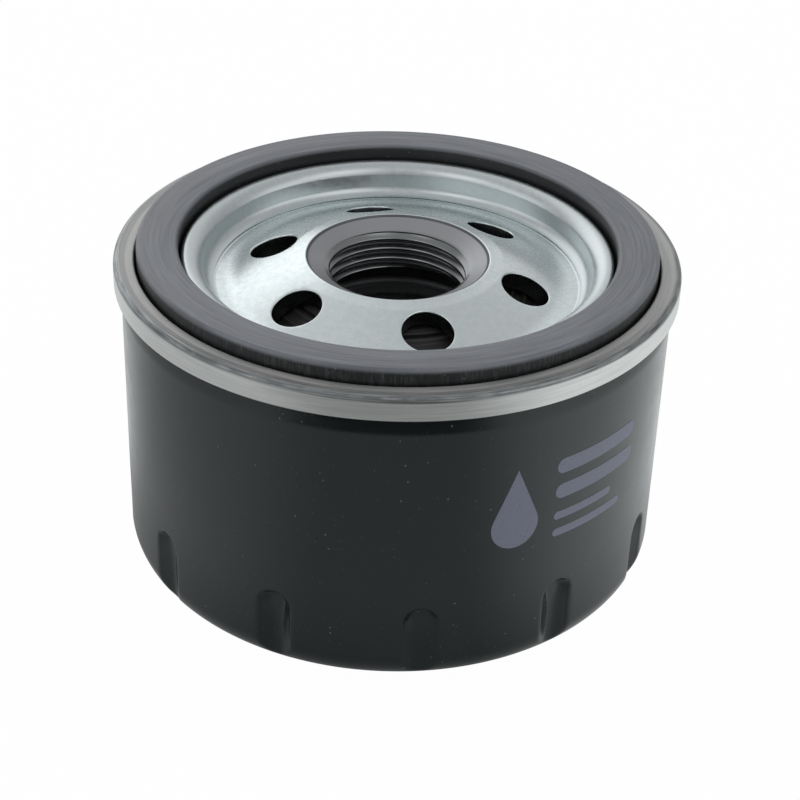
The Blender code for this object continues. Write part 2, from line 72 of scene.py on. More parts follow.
def rounded(corners, steps=6):
    """Closed outline through (r, z, radius) corners, each rounded by its own radius."""
    points = []
    for i, (r, z, radius) in enumerate(corners):
        here = np.array((r, z), float)
        if radius <= 0:
            points.append((r, z))
            continue
        before = np.array(corners[i - 1][:2], float) - here
        after = np.array(corners[(i + 1) % len(corners)][:2], float) - here
        room = 0.48 * min(np.linalg.norm(before), np.linalg.norm(after))
        before /= np.linalg.norm(before)
        after /= np.linalg.norm(after)
        half = math.acos(np.clip(before @ after, -1.0, 1.0)) / 2
        reach = min(room, radius / math.tan(half))
        radius = reach * math.tan(half)
        middle = (before + after) / np.linalg.norm(before + after)
        centre = here + middle * radius / math.sin(half)
        start = here + before * reach - centre
        end = here + after * reach - centre
        first = math.atan2(start[1], start[0])
        sweep = math.atan2(end[1], end[0]) - first
        sweep = (sweep + math.pi) % (2 * math.pi) - math.pi
        for k in range(steps + 1):
            angle = first + sweep * k / steps
            points.append(tuple(centre + radius * np.array((math.cos(angle), math.sin(angle)))))
    return points


def square_ring(inner, outer, bottom, top, inner_radius, outer_radius, steps=6):
    """Outline of a ring of rectangular section, its corners rounded."""
    corners = [(inner, bottom, inner_radius), (outer, bottom, outer_radius)]
    corners += [(outer, top, outer_radius), (inner, top, inner_radius)]
    return rounded(corners, steps)


def arc(centre, radius, start, end, steps):
    """Points round a centre in the (r, z) plane; the angles are in degrees."""
    angles = np.radians(np.linspace(start, end, steps + 1))
    return [(centre[0] + radius * math.cos(a), centre[1] + radius * math.sin(a)) for a in angles]


def spline(points, steps=5):
    """A smooth line through the points (Catmull-Rom), ends included."""
    points = [np.array(p, float) for p in points]
    padded = [2 * points[0] - points[1], *points, 2 * points[-1] - points[-2]]
    line = []
    for a, b, c, d in zip(padded, padded[1:], padded[2:], padded[3:]):
        for k in range(steps):
            t = k / steps
            at = 0.5 * (2 * b + (c - a) * t + (2 * a - 5 * b + 4 * c - d) * t**2)
            at = at + 0.5 * (3 * b - a - 3 * c + d) * t**3
            line.append(tuple(at))
    return line + [tuple(points[-1])]


def spread(outline, longest=2.0):
    """The closed outline with extra points: none far apart, and two close to each long side's ends."""
    points = []
    for (r0, z0), (r1, z1) in zip(outline, outline[1:] + outline[:1]):
        length = math.hypot(r1 - r0, z1 - z0)
        if length < 1e-6:
            continue
        shares = [0.0]
        if length > 4 * SUPPORT and max(r0, r1) > 0:
            count = math.ceil(length / longest)
            shares += [SUPPORT / length]
            shares += [k / count for k in range(1, count)]
            shares += [1 - SUPPORT / length]
        points += [(r0 + (r1 - r0) * share, z0 + (z1 - z0) * share) for share in shares]
    return points


def signed_area(outline):
    r, z = np.array(outline).T
    return 0.5 * np.sum(r * np.roll(z, -1) - np.roll(r, -1) * z)


def linked_object(name, data):
    obj = bpy.data.objects.new(name, data)
    bpy.context.scene.collection.objects.link(obj)
    return obj


def mesh_object(name, points, faces):
    """Object from points in millimetres."""
    mesh = bpy.data.meshes.new(name)
    mesh.from_pydata((np.asarray(points) * MM).tolist(), [], faces)
    mesh.validate()
    return linked_object(name, mesh)


def weld(obj, distance=0.0005):
    """Joins the points that lie on each other."""
    modifier = obj.modifiers.new("Weld", "WELD")
    modifier.merge_threshold = distance * MM
    settle(obj)


def settle(obj):
    """Makes the evaluated shape the object's own mesh."""
    bpy.context.view_layer.update()
    graph = bpy.context.evaluated_depsgraph_get()
    mesh = bpy.data.meshes.new_from_object(obj.evaluated_get(graph))
    obj.modifiers.clear()
    obj.data = mesh


def closed_grid(name, radius, height, angle):
    """Closed mesh from (angles x outline) arrays of radius, height and angle, in outline order."""
    rows, columns = radius.shape
    points = np.stack((radius * np.cos(angle), radius * np.sin(angle), height), -1)
    row, column = np.meshgrid(np.arange(rows), np.arange(columns), indexing="ij")
    next_row = (row + 1) % rows
    next_column = (column + 1) % columns
    corners = [row * columns + column, next_row * columns + column]
    corners += [next_row * columns + next_column, row * columns + next_column]
    faces = np.stack(corners, -1).reshape(-1, 4)
    if signed_area(list(zip(radius[0], height[0]))) < 0:
        faces = faces[:, ::-1]
    off_axis = radius.reshape(-1)[faces].max(axis=1) > 1e-6
    obj = mesh_object(name, points.reshape(-1, 3), faces[off_axis].tolist())
    if radius.min() < 1e-6:
        weld(obj)
    return obj


def turned(name, outline, segments=SEGMENTS, warp=None):
    """Solid of revolution from a closed outline; warp(angle, r, z) may bend it."""
    r, z = np.array(outline).T
    angle = np.linspace(0, 2 * math.pi, segments, endpoint=False)[:, None] + 0 * r[None, :]
    radius = r[None, :] + 0 * angle
    height = z[None, :] + 0 * angle
    if warp:
        angle, radius, height = warp(angle, radius, height)
    return closed_grid(name, radius, height, angle)


def wound(name, section, angles, lifts):
    """Solid with a closed (r, z) section wound round the axis and rising, its two ends capped."""
    if signed_area(section) < 0:
        section = section[::-1]
    r, z = np.array(section).T
    angles = np.asarray(angles)[:, None]
    x = r * np.cos(angles)
    y = r * np.sin(angles)
    points = np.stack((x, y, z + np.asarray(lifts)[:, None]), -1)
    rows, columns = x.shape
    faces = []
    for row in range(rows - 1):
        for column in range(columns):
            after = (column + 1) % columns
            low = row * columns
            high = low + columns
            faces.append((low + column, high + column, high + after, low + after))
    faces.append(tuple(range(columns)))
    faces.append(tuple(reversed(range((rows - 1) * columns, rows * columns))))
    return mesh_object(name, points.reshape(-1, 3), faces)


def carve(obj, cutters):
    """Cuts the cutters out of the object and removes them."""
    for cutter in cutters:
        modifier = obj.modifiers.new(cutter.name, "BOOLEAN")
        modifier.operation = "DIFFERENCE"
        modifier.solver = "MANIFOLD"
        modifier.object = cutter
    settle(obj)
    for cutter in cutters:
        bpy.data.objects.remove(cutter)


def drill(name, radius, length, place, direction, sides=48):
    """Round cutter with its middle at the place, along the direction."""
    outline = [(0, -length / 2), (radius, -length / 2), (radius, length / 2), (0, length / 2)]
    cutter = turned(name, outline, sides)
    turn = Vector(direction).to_track_quat("Z", "Y").to_matrix().to_4x4()
    cutter.data.transform(Matrix.Translation(Vector(place) * MM) @ turn)
    return cutter


def piece(obj, body, nodes, finish):
    """Shades the object and makes it the shown stand-in for these CAD nodes."""
    obj.data.shade_smooth()
    obj.data.set_sharp_from_angle(angle=SHARP_ANGLE)
    obj.data.materials.clear()
    obj.data.materials.append(finish)
    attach(obj, body)
    if nodes:
        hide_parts(*nodes)


def smooth_step(low, high, value):
    share = np.clip((value - low) / (high - low), 0, 1)
    return share * share * (3 - 2 * share)


def wander(angle, seed, amount, lowest=2, highest=9):
    """A seeded wavy line round the axis, that closes on itself."""
    random = np.random.default_rng(seed)
    total = 0 * angle
    for count in range(lowest, highest + 1):
        phase = random.uniform(0, 2 * math.pi)
        total = total + random.uniform(0.3, 1.0) * np.sin(count * angle + phase) / count**0.5
    return amount * total / 2


# ---------------------------------------------------------------- finishes


class Nodes:
    """Short calls that make and join the nodes of one tree."""

    def __init__(self, tree):
        self.tree = tree

    def add(self, kind, settings=None, **sockets):
        node = self.tree.nodes.new(kind)
        for key, value in (settings or {}).items():
            setattr(node, key, value)
        for key, value in sockets.items():
            self.plug(value, node.inputs[key])
        return node

    def plug(self, value, socket):
        if isinstance(value, bpy.types.NodeSocket):
            self.tree.links.new(value, socket)
        else:
            socket.default_value = value

    def math(self, operation, *values):
        node = self.add("ShaderNodeMath", {"operation": operation})
        for value, socket in zip(values, node.inputs):
            self.plug(value, socket)
        return node.outputs[0]

    def plus(self, a, b):
        return self.math("ADD", a, b)

    def times(self, a, b):
        return self.math("MULTIPLY", a, b)

    def ramp(self, value, low, high, start=0.0, end=1.0):
        """Goes smoothly from start to end as the value goes from low to high."""
        node = self.add("ShaderNodeMapRange", {"interpolation_type": "SMOOTHSTEP"})
        names = ("Value", "From Min", "From Max", "To Min", "To Max")
        for key, entry in zip(names, (value, low, high, start, end)):
            self.plug(entry, node.inputs[key])
        return node.outputs[0]

    def blend(self, share, a, b):
        node = self.add("ShaderNodeMix", {"data_type": "FLOAT"})
        for value, socket in ((share, 0), (a, 2), (b, 3)):
            self.plug(value, node.inputs[socket])
        return node.outputs[0]


class Finish(Nodes):
    """A Principled material, with the places and textures that these finishes are made from."""

    def __init__(self, name):
        self.material = bpy.data.materials.new(name)
        self.material.use_nodes = True
        super().__init__(self.material.node_tree)
        self.shader = self.tree.nodes["Principled BSDF"]
        texture = self.add("ShaderNodeTexCoord")
        place = self.add("ShaderNodeVectorMath", {"operation": "SCALE"})
        self.plug(texture.outputs["Object"], place.inputs[0])
        self.plug(1 / MM, place.inputs["Scale"])
        self.place = place.outputs[0]
        self.x, self.y, self.z = self.add("ShaderNodeSeparateXYZ", Vector=self.place).outputs
        squares = self.plus(self.math("POWER", self.x, 2.0), self.math("POWER", self.y, 2.0))
        self.radius = self.math("SQRT", squares)

    def noise(self, scale, place=None, detail=3.0, roughness=0.55, distortion=0.0):
        """Noise from 0 to 1, with scale in cells per millimetre of the place given."""
        node = self.add(
            "ShaderNodeTexNoise", None, Scale=scale, Detail=detail, Roughness=roughness,
            Distortion=distortion, Vector=place or self.place,
        )
        return node.outputs[0]

    def round_place(self, along, across):
        """Coordinates that stretch noise into rings: along is cells per turn, across per millimetre."""
        share_x = self.math("DIVIDE", self.x, self.radius)
        share_y = self.math("DIVIDE", self.y, self.radius)
        depth = self.times(self.plus(self.radius, self.z), across)
        reach = along / (2 * math.pi)
        node = self.add(
            "ShaderNodeCombineXYZ", None,
            X=self.times(share_x, reach), Y=self.times(share_y, reach), Z=depth,
        )
        return node.outputs[0]

    def rings(self, along, across, detail=3.0):
        return self.noise(1.0, self.round_place(along, across), detail)

    def specks(self, scale, share, size=0.32):
        """Sparse dots: one cell in so many holds one."""
        node = self.add("ShaderNodeTexVoronoi", None, Scale=scale, Vector=self.place)
        chosen = self.add("ShaderNodeSeparateColor", None, Color=node.outputs["Color"]).outputs[0]
        kept = self.math("GREATER_THAN", chosen, 1 - share)
        return self.times(kept, self.ramp(node.outputs["Distance"], size * 0.6, size, 1.0, 0.0))

    def mix(self, share, a, b):
        node = self.add("ShaderNodeMix", {"data_type": "RGBA"})
        for value, socket in ((share, 0), (a, 6), (b, 7)):
            value = (*value, 1.0) if isinstance(value, tuple) else value
            self.plug(value, node.inputs[socket])
        return node.outputs[2]

    def bump(self, height, depth, under=None):
        """Raises the surface by height (0 to 1) times depth in millimetres."""
        node = self.add("ShaderNodeBump", None, Height=height, Distance=depth * MM)
        node.inputs["Strength"].default_value = 1.0
        if under:
            self.plug(under, node.inputs["Normal"])
        return node.outputs[0]

    def done(self, colour, roughness, metallic=0.0, normal=None, **sockets):
        colour = (*colour, 1.0) if isinstance(colour, tuple) else colour
        self.plug(colour, self.shader.inputs["Base Color"])
        self.plug(roughness, self.shader.inputs["Roughness"])
        self.plug(metallic, self.shader.inputs["Metallic"])
        if normal:
            self.plug(normal, self.shader.inputs["Normal"])
        for key, value in sockets.items():
            self.plug(value, self.shader.inputs[key.replace("_", " ")])
        return self.material


def black_paint():
    """Glossy black paint with a faint orange peel, and a little dust."""
    f = Finish("black_paint_finish")
    dust = f.specks(2.6, 0.005, 0.40)
    fine_dust = f.specks(6.0, 0.006, 0.40)
    cloud = f.noise(0.09, detail=2.0)
    base = f.mix(cloud, (0.0085, 0.0125, 0.0138), (0.0110, 0.0155, 0.0170))
    base = f.mix(f.times(f.math("MAXIMUM", dust, fine_dust), 0.5), base, (0.22, 0.23, 0.24))
    peel = f.noise(1.3, detail=2.0, roughness=0.5)
    grain = f.noise(9.0, detail=1.0)
    normal = f.bump(peel, 0.003, f.bump(grain, 0.0004))
    rough = f.plus(f.ramp(f.noise(0.35, detail=4.0), 0.3, 0.7, 0.17, 0.22), f.times(dust, 0.3))
    return f.done(base, rough, 0.0, normal, IOR=1.5)


def zinc_plate():
    """Zinc plating on the tapping plate; the faced hub and thread are bare steel, with painted shade in
    the holes, bore and hub groove.
    """
    f = Finish("zinc_plate_finish")
    mottle = f.noise(1.1, detail=5.0, roughness=0.65)
    fine = f.noise(7.0, detail=3.0, roughness=0.7)
    zinc = f.mix(f.ramp(mottle, 0.32, 0.68), (0.665, 0.735, 0.748), (0.730, 0.790, 0.800))
    zinc = f.mix(f.ramp(fine, 0.55, 0.75, 0.0, 0.25), zinc, (0.55, 0.61, 0.62))
    scratch_place = f.add("ShaderNodeMapping", None, Vector=f.place)
    scratch_place.inputs["Rotation"].default_value = (0.0, 0.0, 0.5)
    scratch_place.inputs["Scale"].default_value = (0.12, 2.2, 0.6)
    scratches = f.noise(1.0, scratch_place.outputs[0], detail=6.0, roughness=0.7)
    scratch = f.ramp(scratches, 0.66, 0.72)
    zinc = f.mix(f.times(scratch, 0.25), zinc, (0.33, 0.36, 0.37))
    # Painted shade: the walls of the inlet holes, below the cone's face, are painted near black.
    above_cone = f.plus(f.z, f.times(f.radius, math.tan(CONE_ANGLE)))
    cone_level = HUB_TOP + CONE_START * math.tan(CONE_ANGLE)
    hole = f.ramp(above_cone, cone_level - 0.26, cone_level - 0.10, 1.0, 0.0)
    hole = f.times(hole, f.ramp(f.radius, CONE_END + 0.5, CONE_END))
    hole = f.times(hole, f.ramp(f.radius, HUB_RADIUS + 0.21, HUB_RADIUS + 0.71))
    zinc = f.mix(f.times(hole, 0.92), zinc, (0.075, 0.08, 0.082))
    lathe_lines = f.rings(5.0, 9.0, 2.0)
    steel = f.mix(lathe_lines, (0.325, 0.332, 0.348), (0.390, 0.397, 0.415))
    # Painted shade: below the countersink the threaded bore's steel is painted darker than the faced hub.
    in_bore = f.ramp(f.radius, THREAD_MAJOR + 0.1, THREAD_MAJOR + 0.3, 1.0, 0.0)
    bore = f.times(in_bore, f.ramp(f.z, HUB_TOP - 1.3, HUB_TOP - 1.6))
    steel = f.mix(bore, steel, (0.25, 0.262, 0.268))
    hub = f.ramp(f.radius, HUB_RADIUS - 0.16, HUB_RADIUS - 0.06, 1.0, 0.0)
    colour = f.mix(hub, zinc, steel)
    # Painted shade: a dark ring is painted in the fine groove round the hub's rim.
    inside = f.ramp(f.radius, HUB_RADIUS - 0.55, HUB_RADIUS - 0.40)
    edge = f.times(inside, f.ramp(f.radius, HUB_RADIUS - 0.20, HUB_RADIUS - 0.06, 1.0, 0.0))
    colour = f.mix(f.times(edge, 0.75), colour, (0.055, 0.06, 0.062))
    zinc_rough = f.ramp(mottle, 0.25, 0.75, 0.27, 0.21)
    steel_rough = f.blend(bore, f.ramp(lathe_lines, 0.3, 0.7, 0.36, 0.46), 0.17)
    rough = f.plus(f.blend(hub, zinc_rough, steel_rough), f.times(fine, 0.06))
    pits = f.bump(fine, 0.002, f.bump(mottle, 0.006))
    normal = f.bump(f.times(lathe_lines, hub), 0.004, f.bump(f.times(scratch, -1.0), 0.006, pits))
    return f.done(colour, rough, 1.0, normal)


def seam_zinc():
    """Rolled zinc plate of the cover: streaks run round it, most of all over the seam."""
    f = Finish("seam_zinc_finish")
    seam = f.ramp(f.radius, 34.9, 35.3)
    streaks = f.rings(26.0, 3.5, 5.0)
    fine = f.rings(60.0, 16.0, 3.0)
    mottle = f.noise(1.3, detail=5.0, roughness=0.65)
    bright = f.mix(f.ramp(mottle, 0.3, 0.7), (0.560, 0.615, 0.626), (0.620, 0.668, 0.675))
    worn = f.mix(f.ramp(streaks, 0.35, 0.65), (0.520, 0.530, 0.525), (0.640, 0.640, 0.620))
    worn = f.mix(f.ramp(mottle, 0.52, 0.8, 0.0, 0.4), worn, (0.55, 0.53, 0.48))
    # Painted shade: the seam's top, most of all its outer part, is painted darker than its face; the fine
    # streaks in it are real.
    top = f.times(f.ramp(f.z, 47.2, 47.6), seam)
    shelf = f.times(top, f.ramp(f.radius, 36.9, 37.4, 1.0, 0.0))
    top = f.times(top, f.plus(1.0, f.times(shelf, -0.75)))
    top_streaks_and_shade = f.mix(f.ramp(fine, 0.35, 0.65), (0.34, 0.355, 0.365), (0.17, 0.18, 0.188))
    worn = f.mix(top, worn, top_streaks_and_shade)
    colour = f.mix(seam, bright, worn)
    rolled_rough = f.plus(f.ramp(streaks, 0.3, 0.7, 0.28, 0.40), f.times(shelf, 0.24))
    rough = f.blend(seam, f.ramp(mottle, 0.3, 0.7, 0.29, 0.36), rolled_rough)
    lines = f.bump(f.times(fine, seam), 0.006, f.bump(f.times(streaks, seam), 0.010))
    normal = f.bump(f.noise(8.0, detail=3.0), 0.0012, lines)
    return f.done(colour, rough, 1.0, normal)


def gasket_rubber():
    """Moulded rubber: satin, finely streaked round the top, frosted across its rounded outer edge; its top
    is painted lighter than its walls, a painted sheen.
    """
    f = Finish("gasket_rubber_finish")
    _, outer, _, top = extent("gasket")
    streaks = f.rings(22.0, 4.0, 5.0)
    strokes = f.rings(900.0, 0.45, 2.0)
    shoulder = f.times(f.ramp(f.radius, outer - 1.15, outer - 0.6), f.ramp(f.z, top - 3.2, top - 0.5))
    # Painted sheen: the top face is painted a lighter grey than the near-black walls; its streaks are
    # real.
    wall = f.ramp(f.z, top - 0.75, top - 0.12, 1.0, 0.0)
    face = f.mix(f.ramp(streaks, 0.3, 0.7), (0.120, 0.130, 0.150), (0.210, 0.224, 0.252))
    colour = f.mix(wall, face, (0.013, 0.0145, 0.0155))
    frost = f.times(shoulder, f.ramp(strokes, 0.45, 0.70))
    colour = f.mix(f.times(frost, 0.3), colour, (0.16, 0.166, 0.175))
    dust = f.specks(5.0, 0.012, 0.42)
    colour = f.mix(f.times(dust, 0.6), colour, (0.30, 0.30, 0.31))
    rough = f.plus(f.ramp(streaks, 0.3, 0.7, 0.32, 0.42), f.times(frost, 0.15))
    grain = f.bump(f.noise(11.0, detail=3.0), 0.008)
    normal = f.bump(f.times(strokes, shoulder), 0.012, f.bump(streaks, 0.008, grain))
    return f.done(colour, rough, 0.0, normal, IOR=1.52)


def valve_rubber():
    """Softer nitrile of the anti-drain valve and the bypass disc, with mould lines."""
    f = Finish("valve_rubber_finish")
    cloud = f.noise(0.8, detail=4.0)
    colour = f.mix(cloud, (0.018, 0.018, 0.018), (0.034, 0.033, 0.031))
    dust = f.specks(5.0, 0.015, 0.42)
    colour = f.mix(f.times(dust, 0.4), colour, (0.18, 0.18, 0.17))
    normal = f.bump(f.rings(8.0, 5.0, 2.0), 0.01, f.bump(f.noise(12.0, detail=2.0), 0.006))
    return f.done(colour, f.ramp(cloud, 0.3, 0.7, 0.36, 0.50), 0.0, normal, IOR=1.5)


def cap_steel():
    """Dark phosphated steel of the element's caps, tube and valve, drawn and rubbed."""
    f = Finish("cap_steel_finish")
    streaks = f.rings(18.0, 3.0, 4.0)
    mottle = f.noise(0.9, detail=5.0, roughness=0.6)
    colour = f.mix(f.ramp(streaks, 0.3, 0.7), (0.115, 0.122, 0.128), (0.175, 0.182, 0.190))
    colour = f.mix(f.ramp(mottle, 0.55, 0.8, 0.0, 0.5), colour, (0.080, 0.085, 0.090))
    normal = f.bump(streaks, 0.008, f.bump(f.noise(6.0, detail=3.0), 0.004))
    return f.done(colour, f.ramp(mottle, 0.3, 0.7, 0.48, 0.62), 0.55, normal)


def spring_steel():
    """Oil-tempered wire with drawing marks and dark scale."""
    f = Finish("spring_steel_finish")
    scale = f.noise(1.4, detail=5.0, roughness=0.7)
    marks = f.rings(20.0, 9.0, 3.0)
    colour = f.mix(f.ramp(scale, 0.35, 0.7), (0.20, 0.20, 0.205), (0.40, 0.39, 0.38))
    normal = f.bump(marks, 0.006, f.bump(scale, 0.004))
    return f.done(colour, f.ramp(scale, 0.3, 0.7, 0.24, 0.42), 1.0, normal)


def filter_paper():
    """Resin-soaked cellulose: warm, fibrous, with a fine cross grain."""
    f = Finish("filter_paper_finish")
    fibre = f.noise(3.2, detail=6.0, roughness=0.75, distortion=1.5)
    stretched = f.add("ShaderNodeMapping", None, Vector=f.place)
    stretched.inputs["Scale"].default_value = (5.0, 5.0, 0.5)
    grain = f.noise(1.0, stretched.outputs[0], detail=4.0, roughness=0.7)
    colour = f.mix(f.ramp(fibre, 0.3, 0.7), (0.50, 0.33, 0.13), (0.68, 0.50, 0.25))
    colour = f.mix(f.ramp(grain, 0.55, 0.75, 0.0, 0.4), colour, (0.40, 0.25, 0.09))
    normal = f.bump(fibre, 0.05, f.bump(grain, 0.03))
    return f.done(colour, f.ramp(fibre, 0.3, 0.7, 0.75, 0.92), 0.0, normal)


def adhesive(name, low, high, rough):
    """Cured compound, slightly uneven in colour and level."""
    f = Finish(name)
    cloud = f.noise(0.7, detail=4.0, distortion=0.6)
    normal = f.bump(cloud, 0.08, f.bump(f.noise(5.0, detail=3.0), 0.01))
    return f.done(f.mix(f.ramp(cloud, 0.3, 0.7), low, high), rough, 0.0, normal)


def print_ink():
    """Grey-lavender screen print, thin enough for the black to show in specks."""
    f = Finish("print_ink_finish")
    cover = f.noise(5.0, detail=4.0, roughness=0.7)
    colour = f.mix(f.ramp(cover, 0.30, 0.62), (0.160, 0.172, 0.232), (0.215, 0.228, 0.300))
    pinholes = f.specks(5.0, 0.05, 0.34)
    colour = f.mix(f.times(pinholes, 0.7), colour, (0.02, 0.02, 0.026))
    return f.done(colour, f.ramp(cover, 0.3, 0.7, 0.42, 0.55), 0.0, f.bump(cover, 0.006))


# ---------------------------------------------------------------- housing

CAN_SHEET = 0.5
FLUTES = 12
FLUTE_ANGLE = math.radians(7.2 - 90.0)
FLUTE_TOP = 16.3
FLUTE_WIDTH = 5.2
FLUTE_DEPTH = 1.2
NECK_DEPTH = 0.45
NECK_BOTTOM = 41.8
NECK_TOP = 44.6
FLUTE_BLEND = 0.35  # softness of the line where a flute's floor meets the shoulder
SHOULDER_RADIUS = 5.0
SHOULDER_TURN = math.radians(73.5)
FOOT_RADIUS = 22.0


def can_outline(radius, mouth, foot):
    """(r, z, inward r, inward z) along the can's outside, from its mouth to its middle."""
    end = radius - SHOULDER_RADIUS * (1 - math.cos(SHOULDER_TURN))
    rise = (end - FOOT_RADIUS) / math.tan(SHOULDER_TURN)
    bend = foot + rise + SHOULDER_RADIUS * math.sin(SHOULDER_TURN)
    heights = np.concatenate((
        np.linspace(mouth, NECK_BOTTOM - 0.4, 24), np.linspace(40.5, 17.2, 10),
        np.arange(17.0, 13.2, -0.12), np.linspace(13.0, bend + 0.2, 14),
    ))
    necks = NECK_DEPTH * smooth_step(NECK_BOTTOM, NECK_TOP, heights)
    rows = [(radius - neck, height, -1.0, 0.0) for neck, height in zip(necks, heights)]
    for angle in np.linspace(0, SHOULDER_TURN, 44):
        across, down = math.cos(angle), math.sin(angle)
        r = radius - SHOULDER_RADIUS + SHOULDER_RADIUS * across
        rows.append((r, bend - SHOULDER_RADIUS * down, -across, down))
    slope = (-math.cos(SHOULDER_TURN), math.sin(SHOULDER_TURN))
    for r in np.linspace(end - 0.3, FOOT_RADIUS + 1.0, 8):
        rows.append((r, foot + rise * (r - FOOT_RADIUS) / (end - FOOT_RADIUS), *slope))
    for share in np.linspace(0.0, 1.0, 7):
        r = FOOT_RADIUS + 0.8 - 1.8 * share
        lift = rise * 0.8 / (end - FOOT_RADIUS) * (1 - share) ** 2
        mean = (slope[0] * (1 - share), slope[1] * (1 - share) + share)
        rows.append((r, foot + lift, mean[0], mean[1]))
    for r in (18.0, 12.0, 6.0, 0.0):
        rows.append((r, foot, 0.0, 1.0))
    return np.array(rows)


def flute_lines(can_radius):
    """Angles of the can's mesh lines: close together over the flutes' sides, wide between them."""
    half_pitch = math.pi / FLUTES * can_radius
    near = np.concatenate((np.arange(0.0, 1.5, 0.3), np.arange(1.5, 3.0, 0.11)))
    offsets = np.concatenate((near, np.linspace(3.1, half_pitch, 9)))
    one = np.concatenate((offsets, -offsets[1:-1])) / can_radius
    angles = [FLUTE_ANGLE + 2 * math.pi * k / FLUTES + one for k in range(FLUTES)]
    return np.sort(np.concatenate(angles))


def flute_depth(angle, height, can_radius):
    """How far the wall is pressed in: a round-topped upright scoop, crisp only round its top."""
    pitch = 2 * math.pi / FLUTES
    offset = (angle - FLUTE_ANGLE + pitch / 2) % pitch - pitch / 2
    above = np.maximum(0, height - (FLUTE_TOP - FLUTE_WIDTH / 2))
    share = np.hypot(offset * can_radius, above) / (FLUTE_WIDTH / 2)
    low = smooth_step(FLUTE_TOP - 1.2, FLUTE_TOP - 5.5, height)
    side = 1 - smooth_step(0.42 - 0.34 * low, 1.04 + 0.18 * low, share)
    crown = 1 - 0.16 * np.minimum(share, 1) ** 2
    return FLUTE_DEPTH * side * crown


def soft_least(a, b, width):
    """The smaller of two values, blended smoothly where they are within the width of each other."""
    near = np.maximum(width - np.abs(a - b), 0) / width
    return np.minimum(a, b) - near**2 * width / 4


def can_shell(paint):
    _, radius, foot, mouth = extent("can")
    rows = can_outline(radius, mouth, foot)
    back = rows[::-2]
    r = np.concatenate((rows[:, 0], back[:, 0] + CAN_SHEET * back[:, 2]))
    z = np.concatenate((rows[:, 1], back[:, 1] + CAN_SHEET * back[:, 3]))
    wall = np.concatenate((np.full(len(rows), radius), np.full(len(back), radius - CAN_SHEET)))
    blend = np.concatenate((np.full(len(rows), FLUTE_BLEND), np.full(len(back), 2 * FLUTE_BLEND)))
    angle = flute_lines(radius)[:, None] + 0 * r[None, :]
    depth = flute_depth(angle, z[None, :], radius)
    pressed = soft_least(r[None, :], wall - depth, blend)
    share = np.clip(depth / FLUTE_BLEND, 0, 1)
    radii = np.maximum(r[None, :] * (1 - share) + pressed * share, 0.0)
    obj = closed_grid("can_shell", radii, z[None, :] + 0 * angle, angle)
    piece(obj, "housing", ["can"], paint)


DROP_RADIUS = 3.3
DROP_TIP = 8.4  # from the middle of the drop's round end up to its point
DROP_ACROSS = -9.4  # from the middle of the mark
DROP_HEIGHT = 27.0
BAR_START = -3.6  # from the middle of the mark
# width, base and height of each bar
BARS = ((15.0, 33.0, 2.2), (15.0, 29.2, 2.2), (10.4, 26.0, 1.2), (12.6, 23.4, 1.2))
PRINT_ANGLE = math.radians(-50.0)
INK_PROUD = 0.03


def print_mark(ink):
    """Generic mark: an upright drop and four plain bars, printed on the right of the can."""
    radius = extent("can")[1]
    shapes = []
    across = np.sin(np.linspace(-math.pi / 2, math.pi / 2, 61))
    round_edge = DROP_RADIUS * np.sqrt(np.maximum(0, 1 - across**2))
    touch = DROP_RADIUS / DROP_TIP  # sine of the angle between the drop's axis and its straight sides
    side = DROP_TIP - DROP_RADIUS * np.abs(across) * math.sqrt(1 - touch**2) / touch
    top = np.where(np.abs(across) < math.sqrt(1 - touch**2), side, round_edge)
    shapes.append((DROP_ACROSS + across * DROP_RADIUS, DROP_HEIGHT - round_edge, DROP_HEIGHT + top))
    shapes += [bar(*sizes) for sizes in BARS]
    points, faces = [], []
    for x, low, high in shapes:
        add_slab(points, faces, x / radius + PRINT_ANGLE, low, high, radius - 0.05, radius + INK_PROUD)
    obj = mesh_object("can_print", np.array(points), faces)
    weld(obj)
    piece(obj, "housing", [], ink)


def bar(width, base, height):
    """(x, low, high) of a bar with rounded ends."""
    half = height / 2
    turn = np.linspace(0, math.pi / 2, 9)
    ends = half * (1 - np.cos(turn))
    x = np.concatenate((ends, np.linspace(half, width - half, 20)[1:-1], width - ends[::-1]))
    inset = np.minimum(np.minimum(x, width - x), half)
    reach = np.sqrt(np.maximum(0, half**2 - (half - inset) ** 2))
    return BAR_START + x, base + half - reach, base + half + reach


def add_slab(points, faces, angle, low, high, inner, outer):
    """Adds a thin closed slab that follows the can, as wide as the angles and between two heights."""
    first = len(points)
    count = len(angle)
    for radius in (outer, inner):
        for z in (low, high):
            points += list(zip(radius * np.cos(angle), radius * np.sin(angle), z))
    out_low, out_high, in_low, in_high = (first + k * count for k in range(4))
    for i in range(count - 1):
        faces.append((out_low + i, out_low + i + 1, out_high + i + 1, out_high + i))
        faces.append((in_high + i, in_high + i + 1, in_low + i + 1, in_low + i))
        faces.append((in_low + i, in_low + i + 1, out_low + i + 1, out_low + i))
        faces.append((out_high + i, out_high + i + 1, in_high + i + 1, in_high + i))
    faces.append((out_low, out_high, in_high, in_low))
    faces.append(tuple(corner + count - 1 for corner in (out_low, in_low, in_high, out_high)))


GASKET_CLEARANCE = 0.35
LID_SHEET = 0.4
LID_EDGE = 44.0
SEAM_DEPTH = 3.45
HOLLOW = 1.7  # radius of the cover's bend just above its inner edge
SEAM_CREASES = ((2.35, 0.03, 0.07), (2.53, 0.04, 0.06), (2.69, 0.03, 0.05))  # offset, depth, width


